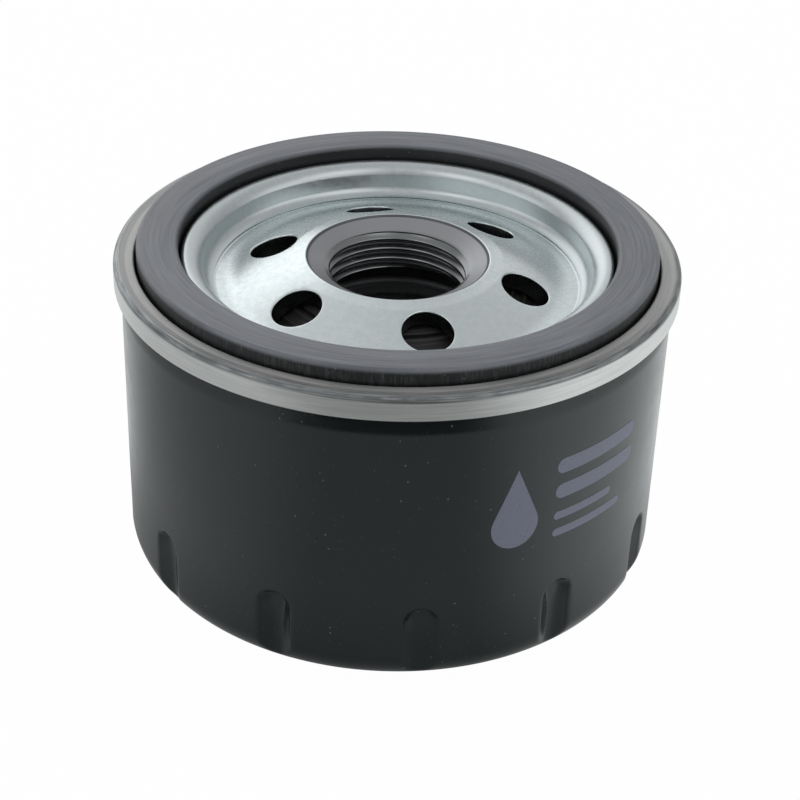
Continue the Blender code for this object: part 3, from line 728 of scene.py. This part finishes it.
def seam_cover(zinc):
    """The cover: bead, gasket groove, and the rolled seam round the can's mouth."""
    inner, outer, _, top = extent("seaming_lid")
    low = top - SEAM_DEPTH
    ring_inner, ring_outer, ring_bottom, _ = extent("gasket")
    wall = ring_inner - GASKET_CLEARANCE
    lip = ring_outer + 0.27
    floor = ring_bottom - 0.3
    crest, bend = wall - 0.55, 2.4
    lean = math.radians(8.0)
    hollow = (inner - HOLLOW * math.sin(lean), LID_EDGE + HOLLOW * math.cos(lean))
    outline = arc(hollow, HOLLOW, -82.0, -28.0, 16)
    outline += arc((crest - 0.05, top - bend), bend, 152.0, 92.0, 22)
    outline += arc((crest, top - 0.55), 0.55, 86.0, 0.0, 9)
    outline += rounded([
        (wall, top - 1.5, 0), (wall, floor, 0.35), (lip, floor, 0.35), (lip, top - 0.9, 0),
    ])
    outline += spline([
        (lip, top - 0.40), (lip + 0.05, top - 0.16), (lip + 0.20, top - 0.03), (lip + 0.45, top - 0.03),
        (lip + 0.80, top - 0.08), (lip + 1.20, top - 0.14), (lip + 1.50, top - 0.10),
        (outer - 0.85, top - 0.01),
    ], 7)
    outline += arc((outer - 0.8, top - 0.8), 0.8, 88.0, 0.0, 12)
    outline += rounded([
        (outer, top - 1.3, 0), (outer, low, 0.40), (outer - 0.78, low + 0.05, 0.12),
        (outer - 0.80, low + 0.35, 0.1), (outer - 0.42, low + 0.55, 0.1),
        (outer - 0.42, top - 0.72, 0.3), (lip + 0.4, top - 0.72, 0.2),
        (lip + 0.38, floor - 0.4, 0.5), (wall - 0.4, floor - 0.4, 0.5),
        (wall - 0.4, top - 0.75, 0.1), (wall - 0.75, top - 0.45, 0.1),
    ], 4)
    outline += arc((crest - 0.05, top - bend), bend - LID_SHEET, 95.0, 152.0, 12)
    outline += arc(hollow, HOLLOW + LID_SHEET, -28.0, -50.0, 4)
    outline += arc(hollow, HOLLOW + 0.18, -65.0, -82.0, 3)

    def creases(angle, radius, height):
        """Wavy creases in the top of the seam, where the rolled layers meet."""
        on_top = smooth_step(top - 0.6, top - 0.45, height)
        sunk = 0 * angle
        for k, (offset, deep, width) in enumerate(SEAM_CREASES):
            centre = lip + offset + wander(angle, 11 + k, 0.10)
            fade = 0.65 + wander(angle, 31 + k, 0.45)
            sunk = sunk + deep * np.clip(fade, 0.1, 1.0) * np.exp(-(((radius - centre) / width) ** 2))
        rolled = smooth_step(outer - 0.9, outer - 0.1, radius)
        rolled = rolled * smooth_step(top - 3.9, top - 3.5, height)
        radius = radius - rolled * np.clip(wander(angle, 51, 0.03), -0.04, 0.0)
        return angle, np.minimum(radius, outer), height - sunk * on_top

    obj = turned("seam_cover", spread(outline, 1.5), 540, creases)
    piece(obj, "housing", ["seaming_lid"], zinc)


HUB_RADIUS = 12.49
HUB_TOP = 47.2
COUNTERSINK = math.radians(30.0)
CONE_ANGLE = math.radians(20.0)
CONE_START = HUB_RADIUS + 0.45
CONE_END = 21.5  # from here the cone curves out into the valley round it
VALLEY_START = 23.5
VALLEY_UNDER = 41.0
PLATE_THICKNESS = 2.5


def cone_top(radius):
    return HUB_TOP - math.tan(CONE_ANGLE) * (radius - CONE_START)


def sink(radius):
    """Height of the countersink that leads from the hub's rim down to the thread."""
    return HUB_TOP - math.tan(COUNTERSINK) * (HUB_RADIUS - radius)


def plate_top(radius):
    """Height of the plate's upper face: the cone, then its curve into the flat valley."""
    past = max(0.0, min(radius, VALLEY_START) - CONE_END)
    lift = math.tan(CONE_ANGLE) * past**2 / 2 / (VALLEY_START - CONE_END)
    return cone_top(min(radius, VALLEY_START)) + lift


def plate_under(radius):
    """Height of the plate's underside: the cone, then the flat valley round it."""
    return max(cone_top(radius) - PLATE_THICKNESS / math.cos(CONE_ANGLE), VALLEY_UNDER)


THREAD_PITCH = 1.5
THREAD_MAJOR = 10.0


def thread_groove(minor, bottom):
    """Cutter for the M20 x 1.5 thread; its mouth flares so that the crests come out rounded."""
    half = [(minor - 0.3, 0.79), (minor - 0.01, 0.66), (minor + 0.02, 0.60), (minor + 0.07, 0.535)]
    half += [(minor + 0.14, 0.485), (THREAD_MAJOR - 0.02, 0.115), (THREAD_MAJOR, 0.085)]
    section = half + [(r, -z) for r, z in reversed(half)]
    turns, per_turn = 6.0, 144
    count = int(turns * per_turn)
    angles = [2 * math.pi * i / per_turn for i in range(count + 1)]
    lifts = [bottom + 0.3 - THREAD_PITCH + THREAD_PITCH * i / per_turn for i in range(count + 1)]
    return wound("thread_groove", section, angles, lifts)


INLETS = 6
INLET_ANGLE = math.radians(43.8)
INLET_CIRCLE = 17.83
INLET_RADIUS = 3.37


def inlet_cutter(index):
    """Cutter for one inlet hole, square to the cone, that rounds the edge it leaves on top."""
    angle = INLET_ANGLE + 2 * math.pi * index / INLETS
    out = np.array((math.cos(angle), math.sin(angle), 0.0))
    side = np.array((-math.sin(angle), math.cos(angle), 0.0))
    lean = math.cos(CONE_ANGLE), math.sin(CONE_ANGLE)
    along = out * lean[0] - np.array((0, 0, 1.0)) * lean[1]
    normal = out * lean[1] + np.array((0, 0, 1.0)) * lean[0]
    centre = out * INLET_CIRCLE + np.array((0, 0, cone_top(INLET_CIRCLE)))
    edge = 0.20
    profile = [(INLET_RADIUS, -5.0), (INLET_RADIUS, -1.2)]
    profile += [(INLET_RADIUS + edge - r, z - edge) for r, z in arc((0.0, 0.0), edge, 0.0, 80.0, 7)]
    profile += [(INLET_RADIUS + edge + 0.6, 0.12), (INLET_RADIUS + edge + 0.6, 1.0)]
    sides = 72
    points = []
    for k in range(sides):
        turn = 2 * math.pi * k / sides
        for reach, depth in profile:
            flat = centre + along * reach * math.cos(turn) + side * reach * math.sin(turn)
            on_cone = flat
            for _ in range(4):
                drop = on_cone[2] - plate_top(math.hypot(on_cone[0], on_cone[1]))
                on_cone = on_cone - normal * drop * lean[0]
            points.append(on_cone + normal * depth)
    rows = len(profile)
    points += [centre + normal * profile[0][1], centre + normal * profile[-1][1]]
    faces = []
    for k in range(sides):
        here, after = k * rows, (k + 1) % sides * rows
        for i in range(rows - 1):
            faces.append((here + i, after + i, after + i + 1, here + i + 1))
        faces.append((after, here, sides * rows))
        faces.append((here + rows - 1, after + rows - 1, sides * rows + 1))
    return mesh_object(f"inlet_cutter_{index}", points, faces)


def threaded_plate(zinc):
    """Thick tapping plate: rim, shallow valley, cone with inlet holes, threaded hub."""
    minor, rim, bottom, _ = extent("tapping_plate")
    rim_top = extent("seaming_lid")[3] - 4.0
    rim_under = rim_top - PLATE_THICKNESS
    valley = plate_top(VALLEY_START)
    outline = rounded([
        (minor, bottom + 0.15, 0.05), (minor, sink(minor), 0.45), (12.05, sink(12.05), 0.1),
        (12.17, sink(12.17) - 0.09, 0.06), (12.34, sink(12.34) + 0.02, 0.08),
        (HUB_RADIUS, HUB_TOP - 0.01, 0.06), (14.3, cone_top(14.3), 4.0),
        (CONE_END - 1.0, cone_top(CONE_END - 1.0), 0),
    ], 8)
    outline += [(r, plate_top(r)) for r in np.arange(CONE_END - 0.5, VALLEY_START + 0.1, 0.3)]
    outline += rounded([
        (24.5, valley, 0.5), (24.95, valley + 0.08, 0.3), (25.4, valley + 0.15, 0.3),
        (26.4, rim_top - 0.06, 0.3), (27.0, rim_top, 0.5), (rim, rim_top, 0.3),
        (rim, rim_under, 0.4), (28.0, rim_under, 0.6),
        (24.9, VALLEY_UNDER, 0.8), (22.4, VALLEY_UNDER, 0.8),
        (12.9, plate_under(12.9), 0.6), (12.0, plate_under(12.9) - 0.8, 0.3), (12.0, bottom, 0.3),
        (minor + 0.15, bottom, 0.05),
    ])
    obj = turned("threaded_plate", spread(outline, 1.2), 240)
    carve(obj, [thread_groove(minor, bottom)] + [inlet_cutter(i) for i in range(INLETS)])
    piece(obj, "housing", ["tapping_plate"], zinc)


def sealing_gasket(rubber):
    inner, outer, bottom, top = extent("gasket")
    outline = rounded([
        (inner, bottom, 0.3), (outer, bottom, 0.3), (outer, top, 0.62), (inner + 2.3, top, 4.0),
        (inner, top - 0.22, 0.6),
    ], 12)

    def uneven(angle, radius, height):
        """The rubber is never quite true: its walls wander by a few hundredths."""
        on_wall = smooth_step(top - 0.1, top - 0.6, height)
        return angle, radius - np.abs(wander(angle, 5, 0.03)) * on_wall, height

    obj = turned("sealing_gasket", spread(outline, 0.8), 360, uneven)
    piece(obj, "housing", ["gasket"], rubber)


def sealant_bead(compound):
    inner, outer, bottom, top = extent("seam_sealant")
    outline = square_ring(inner, outer, bottom, top, 0.12, 0.12)

    def squeezed(angle, radius, height):
        swell = wander(angle, 7, 0.06, 5, 20) * smooth_step(inner + 0.4, inner, radius)
        return angle, radius + np.abs(swell), height

    obj = turned("sealant_bead", spread(outline, 0.3), SEGMENTS, squeezed)
    piece(obj, "housing", ["seam_sealant"], compound)


def coil_shape(name, radius, wire, bottom, top, turns):
    """Compression spring with closed, ground-off ends."""
    per_turn = 72
    count = int(turns * per_turn)
    closed_turn = 2.2 * wire / (top - bottom - 2 * wire)
    angles, lifts = [], []
    for i in range(count + 1):
        turned_by = turns * i / count
        if turned_by < 1.0:
            part = closed_turn * turned_by
        elif turned_by > turns - 1.0:
            part = 1.0 - closed_turn * (turns - turned_by)
        else:
            part = closed_turn + (1.0 - 2 * closed_turn) * (turned_by - 1.0) / (turns - 2.0)
        angles.append(2 * math.pi * turned_by)
        lifts.append(bottom + wire + part * (top - bottom - 2 * wire))
    return wound(name, arc((radius, 0.0), wire, 0.0, 345.0, 23), angles, lifts)


def spring_turns(name, node, wire, turns, body, joint, fixed_end, steel):
    """A coil in the place of its CAD node."""
    _, outer, bottom, top = extent(node)
    obj = coil_shape(name, outer - wire, wire, bottom, top, turns)
    piece(obj, body, [node], steel)
    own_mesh(obj)


# name, CAD node, wire radius, turns, body, joint, fixed end
SUPPORT_SPRING = (
    "support_spring", "element_spring", 0.8, 3.0, "housing", "element_float", "bottom",
)
VALVE_SPRING = (
    "valve_spring", "bypass_spring", 0.4, 4.0, "filter_element", "bypass_lift", "top",
)


# ---------------------------------------------------------------- anti-drain valve


def drain_collar(rubber):
    inner, outer, bottom, _ = extent("anti_drain_collar")
    top_inner = plate_under(12.9) - 0.85
    outline = rounded([
        (inner, bottom, 0.25), (outer, bottom, 0.25), (outer, plate_under(outer) - 0.7, 0.2),
        (outer - 0.7, plate_under(outer) - 0.35, 0.3), (inner + 0.5, top_inner, 0.3),
        (inner, top_inner - 0.4, 0.2),
    ])
    obj = turned("drain_collar_rubber", spread(outline, 0.8), 192)
    piece(obj, "filter_element", ["anti_drain_collar"], rubber)


def drain_flap(rubber):
    """Thin flap with rounded concentric ridges where it meets the plate."""
    inner, outer, _, _ = extent("anti_drain_flap")
    drop, ridge, pitch = 0.9, 0.5, 1.7
    upper = []
    for r in np.arange(inner + 0.15, outer - 1.3, 0.085):
        phase = (r - inner - 0.4) % pitch / (pitch / 2)
        inside = inner + 0.4 < r < outer - 2.3 and phase < 1
        lift = ridge * math.sin(math.pi * phase) ** 1.3 if inside else 0.0
        upper.append((r, plate_under(r) - drop + lift))
    end = outer - 1.2
    outline = rounded([
        (inner, plate_under(inner) - drop - 1.0, 0.15), (inner, plate_under(inner) - drop, 0.12),
        upper[0] + (0,),
    ]) + upper[1:]
    outline += rounded([
        (end, plate_under(end) - drop, 0.4), (outer - 0.1, plate_under(outer) - 0.3, 0.3),
        (outer, plate_under(outer) - drop - 0.75, 0.3),
    ])
    obj = turned("drain_flap_rubber", spread(outline, 0.8), 256)
    piece(obj, "drain_flap", ["anti_drain_flap"], rubber)


# ---------------------------------------------------------------- filter element

CAP_SHEET = 0.4


def sheet_ring(name, outer_line, thickness, side, segments=256):
    """Turned sheet: the line is one face, the other lies at the thickness on the given side of it."""
    line = np.array(outer_line)
    step = np.gradient(line, axis=0)
    normal = np.stack((-step[:, 1], step[:, 0]), -1) * side
    normal /= np.linalg.norm(normal, axis=1)[:, None]
    back = line + normal * thickness
    outline = [tuple(p) for p in line] + [tuple(p) for p in back[::-1]]
    return turned(name, spread(outline, 1.5), segments)


def open_line(corners, longest=0.8):
    """An open line through (r, z, radius) corners, its round bends as arcs."""
    far = (corners[0][0] + corners[-1][0]) / 2, corners[0][1] - 99.0
    points = rounded([*corners, (*far, 0)], 8)[:-1]
    line = []
    for (r0, z0), (r1, z1) in zip(points, points[1:]):
        count = max(1, math.ceil(math.hypot(r1 - r0, z1 - z0) / longest))
        line += [(r0 + (r1 - r0) * k / count, z0 + (z1 - z0) * k / count) for k in range(count)]
    return line + [points[-1]]


CAP_DIMPLE = 0.22  # depth of the ring that is pressed into each cap's face


def end_cap(name, node, base, bend_inner, bend_outer, ends, side, steel):
    """Pressed cap with a shallow ring in its face; ends are its first corners and its last height."""
    outer = extent(node)[1] - CAP_SHEET
    pressed = base + CAP_DIMPLE * side
    first, last = ends
    line = open_line([
        *first, (bend_inner, base, 0.5), (bend_inner + 0.5, pressed, 0.5),
        (bend_outer - 0.5, pressed, 0.5), (bend_outer, base, 0.5), (outer, base, 0.5), (outer, last, 0),
    ])
    piece(sheet_ring(name, line, CAP_SHEET, -side), "filter_element", [node], steel)


def end_caps(steel):
    inner, _, skirt, top = extent("element_top_cap")
    base = top - CAP_SHEET
    first = [(inner + CAP_SHEET, skirt, 0), (inner + CAP_SHEET, base, 0.3)]
    end_cap("upper_end_cap", "element_top_cap", base, 19.0, 27.0, (first, skirt), -1.0, steel)
    inner, _, bottom, rim = extent("element_bottom_cap")
    base = bottom + CAP_SHEET
    end_cap("lower_end_cap", "element_bottom_cap", base, 18.6, 26.5, ([(inner, base, 0)], rim), 1.0, steel)


TUBE_HOLE_RADIUS = 1.9
TUBE_ROWS = 3
TUBE_HOLES = 8


def perforated_tube(steel):
    inner, outer, bottom, top = extent("centre_tube")
    outline = square_ring(inner, outer, bottom, top, 0.1, 0.1, 4)
    obj = turned("perforated_tube", spread(outline, 1.0), 240)
    spacing = (top - bottom) / (TUBE_ROWS + 1)
    cutters = []
    for row in range(TUBE_ROWS):
        for i in range(TUBE_HOLES):
            angle = 2 * math.pi * (i + 0.5 * (row % 2)) / TUBE_HOLES
            out = (math.cos(angle), math.sin(angle), 0.0)
            place = (outer * out[0], outer * out[1], bottom + spacing * (row + 1))
            cutters.append(drill(f"tube_drill_{row}_{i}", TUBE_HOLE_RADIUS, 3.0, place, out, 32))
    carve(obj, cutters)
    piece(obj, "filter_element", ["centre_tube"], steel)


PLEATS = 40
PAPER = 0.5
PLEAT_HALF_GAP = 0.3


def pleat_line(tip_radius, tip_half, root_radius, root_half, tip_bend, root_bend):
    """One closed line round all pleats, each tip and root bent round."""
    corners = []
    for i in range(PLEATS):
        tip = 2 * math.pi * i / PLEATS
        root = tip + math.pi / PLEATS
        rows = ((tip, tip_radius, tip_half, tip_bend), (root, root_radius, root_half, root_bend))
        for angle, radius, half, bend in rows:
            for side in (-1, 1):
                at = angle + side * half / radius
                corners.append((radius * math.cos(at), radius * math.sin(at), bend))
    return np.array(rounded(corners, 4))


def pleated_paper(paper):
    """Folded paper, its folds rounded and its panels a little wavy."""
    inner, outer, bottom, top = extent("pleated_media")
    wide = PLEAT_HALF_GAP + PAPER
    outside = pleat_line(outer, wide, inner + PAPER, PLEAT_HALF_GAP, 0.6, 0.15)
    inside = pleat_line(outer - PAPER, PLEAT_HALF_GAP, inner, wide, 0.15, 0.6)
    heights = np.linspace(bottom, top, 13)
    count = len(outside)
    points = []
    for loop in (outside, inside):
        for height in heights:
            share = (height - bottom) / (top - bottom)
            bulge = 0.10 * math.sin(math.pi * share)
            radii = np.hypot(loop[:, 0], loop[:, 1])
            turn = bulge * np.sin(3 * np.arctan2(loop[:, 1], loop[:, 0]) + 7 * share) / radii
            x = loop[:, 0] - turn * loop[:, 1]
            y = loop[:, 1] + turn * loop[:, 0]
            points += list(zip(x, y, np.full(count, height)))
    faces = []
    rows = len(heights)
    for i in range(count):
        after = (i + 1) % count
        for row in range(rows - 1):
            low, high = row * count, (row + 1) * count
            faces.append((low + i, low + after, high + after, high + i))
            back = rows * count
            faces.append((back + high + i, back + high + after, back + low + after, back + low + i))
        end, back = (rows - 1) * count, rows * count
        faces.append((end + i, end + after, back + end + after, back + end + i))
        faces.append((back + i, back + after, after, i))
    obj = mesh_object("pleated_paper", points, faces)
    piece(obj, "filter_element", ["pleated_media"], paper)


def softened(name, node, width, body, finish):
    """A copy of a CAD node with its edges rounded."""
    obj = linked_object(name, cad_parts[node].data.copy())
    weld(obj)
    bevel = obj.modifiers.new("Edges", "BEVEL")
    bevel.width = width * MM
    bevel.segments = 3
    bevel.limit_method = "ANGLE"
    bevel.angle_limit = math.radians(50)
    settle(obj)
    piece(obj, body, [node], finish)


def adhesive_bed(name, node, glue, seed):
    """Bed of adhesive, drawn up a little where it wets the paper."""
    inner, outer, bottom, top = extent(node)
    outline = square_ring(inner, outer, bottom, top, 0.15, 0.2, 5)

    def settled(angle, radius, height):
        sag = 0.05 * np.cos(PLEATS * angle) * smooth_step(bottom, top, height)
        edge = wander(angle, seed, 0.10, 4, 18) * smooth_step(outer - 1.0, outer, radius)
        return angle, radius - np.abs(edge), height - np.abs(sag) * (height > bottom + 0.2)

    obj = turned(name, spread(outline, 1.0), 320, settled)
    piece(obj, "filter_element", [node], glue)


# ---------------------------------------------------------------- bypass valve

PIN_RADIUS = 2.2


def valve_seat(steel):
    inner, outer, bottom, top = extent("bypass_seat")
    outline = rounded([
        (inner, bottom, 0.3), (outer, bottom, 0.1), (outer, bottom + CAP_SHEET, 0.1),
        (inner + 0.6, bottom + CAP_SHEET, 0.25), (inner + 0.6, top, 0.28), (inner, top, 0.28),
    ])
    obj = turned("valve_seat", spread(outline, 0.6), SMALL_SEGMENTS)
    piece(obj, "filter_element", ["bypass_seat"], steel)


def valve_disc(rubber):
    _, outer, bottom, top = extent("bypass_disc")
    middle = top - 0.12
    outline = rounded([
        (0.0, bottom, 0), (outer, bottom, 0.25), (outer, top, 0.25),
        (3.2, top, 0.15), (2.8, middle, 0.15), (0.0, middle, 0),
    ])
    obj = turned("valve_disc_rubber", spread(outline, 0.7), SMALL_SEGMENTS)
    piece(obj, "bypass_poppet", ["bypass_disc"], rubber)


def valve_plunger(steel):
    _, outer, bottom, top = extent("bypass_plunger")
    shelf = bottom + 0.6
    outline = rounded([
        (0.0, bottom, 0), (outer, bottom, 0.2), (outer, shelf + 0.7, 0.2),
        (outer - 0.5, shelf + 0.7, 0.2), (outer - 0.5, shelf, 0.25), (PIN_RADIUS, shelf, 0.4),
        (PIN_RADIUS, top, 0.5), (0.9, top, 0.2), (0.6, top - 0.25, 0.2), (0.0, top - 0.25, 0),
    ])
    obj = turned("valve_plunger", spread(outline, 0.7), SMALL_SEGMENTS)
    piece(obj, "bypass_poppet", ["bypass_plunger"], steel)


def valve_cage(steel):
    """Bridge over the bypass spring, with four windows in its side."""
    inner, outer, bottom, top = extent("bypass_cage")
    base = bottom + CAP_SHEET
    line = open_line([
        (inner, top, 0), (6.6, top, 0.8), (8.6, top - 1.7, 1.2),
        (9.6, base + 0.8, 0.8), (10.4, base, 0.5), (outer, base, 0),
    ], 0.6)
    obj = sheet_ring("valve_cage", line, CAP_SHEET, -1.0, 192)
    cutters = []
    for i in range(2):
        angle = math.pi * i / 2 + math.pi / 4
        out = (math.cos(angle), math.sin(angle), 0.0)
        cutters.append(drill(f"window_drill_{i}", 3.2, 30.0, (0, 0, 17.0), out, 48))
    carve(obj, cutters)
    piece(obj, "filter_element", ["bypass_cage"], steel)


# ---------------------------------------------------------------- stage, light and camera

WHITE = (1.0, 1.0, 1.0)
FLOOR_REACH = 3000.0
FLOOR_GAP = 0.2


def floor():
    """Plain pale floor: white to the camera; in reflections it is dim in front, bright at the sides."""
    reach = FLOOR_REACH
    corners = [(-reach, -reach, 0), (reach, -reach, 0), (reach, reach, 0), (-reach, reach, 0)]
    obj = mesh_object("floor", corners, [(0, 1, 2, 3)])
    obj.location.z = -FLOOR_GAP * MM
    f = Finish("floor_paper")
    rays = f.add("ShaderNodeLightPath").outputs
    grain = f.noise(0.02, detail=2.0)
    tinted = f.mix(grain, (0.95, 0.985, 0.99), (0.965, 1.0, 1.0))
    white = f.mix(rays["Is Camera Ray"], tinted, WHITE)
    to_right = f.math("DIVIDE", f.x, f.radius)
    to_back = f.math("DIVIDE", f.y, f.radius)
    sides = f.plus(f.ramp(to_right, 0.36, 0.92, 0.42, 1.05), f.ramp(to_right, -0.30, -0.85, 0.0, 0.24))
    left_back = f.times(f.ramp(to_back, 0.0, 0.6, 0.0, 0.25), f.ramp(to_right, -0.2, 0.3, 1.0, 0.0))
    seen = f.plus(sides, left_back)
    seen = f.times(seen, f.ramp(f.radius, 38.0, 62.0, 0.55, 1.0))
    dark_front = f.times(f.ramp(to_back, -0.72, -0.94), f.ramp(f.radius, 125.0, 190.0))
    seen = f.blend(dark_front, seen, 0.02)
    level = f.blend(rays["Is Camera Ray"], f.blend(rays["Is Glossy Ray"], 0.5, seen), 1.0)
    glow = f.add("ShaderNodeEmission", None, Color=white, Strength=level)
    paper = f.add("ShaderNodeBsdfDiffuse", None, Color=(0.9, 0.9, 0.9, 1.0))
    share = f.blend(rays["Is Camera Ray"], 1.0, 0.985)
    mixed = f.add("ShaderNodeMixShader", None, Fac=share)
    f.tree.links.new(paper.outputs[0], mixed.inputs[1])
    f.tree.links.new(glow.outputs[0], mixed.inputs[2])
    output = next(n for n in f.tree.nodes if n.type == "OUTPUT_MATERIAL")
    f.tree.links.new(mixed.outputs[0], output.inputs["Surface"])
    obj.data.materials.append(f.material)


# direction, half width in degrees, softness in degrees, strength
SOFTBOXES = (
    ((-0.48, 0.82, 0.30), 20, 13, 0.85),
    ((0.05, 0.86, 0.50), 16, 12, 0.22),
    ((-0.25, 0.50, 0.83), 14, 10, 0.12),
    ((0.44, 0.89, 0.14), 14, 9, 0.13),
    ((0.0, 0.35, 0.94), 34, 26, 0.12),
    ((-0.41, -0.40, 0.81), 11, 7, 0.95),
    ((0.41, -0.40, 0.81), 13, 9, 0.75),
    ((-0.85, -0.15, 0.50), 15, 8, 0.55),
    ((0.85, -0.15, 0.50), 15, 8, 0.55),
    ((0.0, 0.98, -0.05), 40, 30, 0.08),
    ((-0.60, -0.70, 0.40), 22, 14, 0.12),
    ((0.60, -0.70, 0.40), 22, 14, 0.12),
)
AMBIENT = 0.42
FRONT_SHADE = ((0.0, -0.90, 0.42), 22, 14, 0.04)
LOW_FRONT_SHADE = ((0.0, -1.0, -0.05), 14, 6, 0.34)


def surroundings():
    """Soft studio light all round, with brighter softboxes and a shaded side behind the camera."""
    world = bpy.data.worlds.new("studio")
    bpy.context.scene.world = world
    world.use_nodes = True
    n = Nodes(world.node_tree)
    n.tree.nodes.clear()
    around = n.add("ShaderNodeTexCoord").outputs["Generated"]

    def lobe(direction, width, softness, strength):
        dot = n.add("ShaderNodeVectorMath", {"operation": "DOT_PRODUCT"})
        n.plug(around, dot.inputs[0])
        n.plug(Vector(direction).normalized(), dot.inputs[1])
        rim = math.cos(math.radians(width + softness))
        core = math.cos(math.radians(max(0, width - softness)))
        return n.ramp(dot.outputs["Value"], rim, core, 0.0, strength)

    level = n.math("SUBTRACT", AMBIENT, lobe(*FRONT_SHADE))
    level = n.math("SUBTRACT", level, lobe(*LOW_FRONT_SHADE))
    for softbox in SOFTBOXES:
        level = n.plus(level, lobe(*softbox))
    seen = n.add("ShaderNodeLightPath").outputs["Is Camera Ray"]
    shade = n.add("ShaderNodeBackground", None, Color=(*WHITE, 1.0), Strength=n.blend(seen, level, 1.0))
    n.add("ShaderNodeOutputWorld", None, Surface=shade.outputs[0])


CAMERA_ELEVATION = math.radians(31.744)
CAMERA_ROLL = math.radians(2.038)
CAMERA_DISTANCE = 275.879
CAMERA_TARGET = (0.0, 0.0, 19.7)
CAMERA_SHIFT = (0.973, 3.908)
CAMERA_LENS = 87.42


def camera():
    """Camera in front of the filter, looking down at it, a little off its axis and rolled."""
    back = Vector((0, -math.cos(CAMERA_ELEVATION), math.sin(CAMERA_ELEVATION)))
    right = Vector((1, 0, 0))
    up = back.cross(right)
    place = Vector(CAMERA_TARGET) + back * CAMERA_DISTANCE
    place += right * CAMERA_SHIFT[0] + up * CAMERA_SHIFT[1]
    rolled_right = right * math.cos(CAMERA_ROLL) + up * math.sin(CAMERA_ROLL)
    rolled_up = up * math.cos(CAMERA_ROLL) - right * math.sin(CAMERA_ROLL)
    turn = Matrix((rolled_right, rolled_up, back)).transposed().to_4x4()
    data = bpy.data.cameras.new("camera")
    data.lens = CAMERA_LENS
    data.clip_start = 0.01
    obj = linked_object("camera", data)
    obj.matrix_world = Matrix.Translation(place * MM) @ turn
    bpy.context.scene.camera = obj


def build():
    paint = black_paint()
    steel = cap_steel()
    wire = spring_steel()
    soft = valve_rubber()
    glue = adhesive("adhesive_finish", (0.075, 0.070, 0.066), (0.13, 0.12, 0.11), 0.5)
    can_shell(paint)
    print_mark(print_ink())
    seam_cover(seam_zinc())
    threaded_plate(zinc_plate())
    sealing_gasket(gasket_rubber())
    sealant_bead(adhesive("seam_compound_finish", (0.20, 0.18, 0.14), (0.30, 0.27, 0.22), 0.7))
    spring_turns(*SUPPORT_SPRING, wire)
    drain_collar(soft)
    drain_flap(soft)
    end_caps(steel)
    perforated_tube(steel)
    pleated_paper(filter_paper())
    softened("paper_clip", "media_clip", 0.08, "filter_element", steel)
    adhesive_bed("upper_adhesive", "top_adhesive", glue, 71)
    adhesive_bed("lower_adhesive", "bottom_adhesive", glue, 72)
    valve_seat(steel)
    valve_disc(soft)
    valve_plunger(steel)
    valve_cage(steel)
    spring_turns(*VALVE_SPRING, wire)


build()
floor()
surroundings()
camera()
bpy.context.scene.view_settings.view_transform = "Standard"
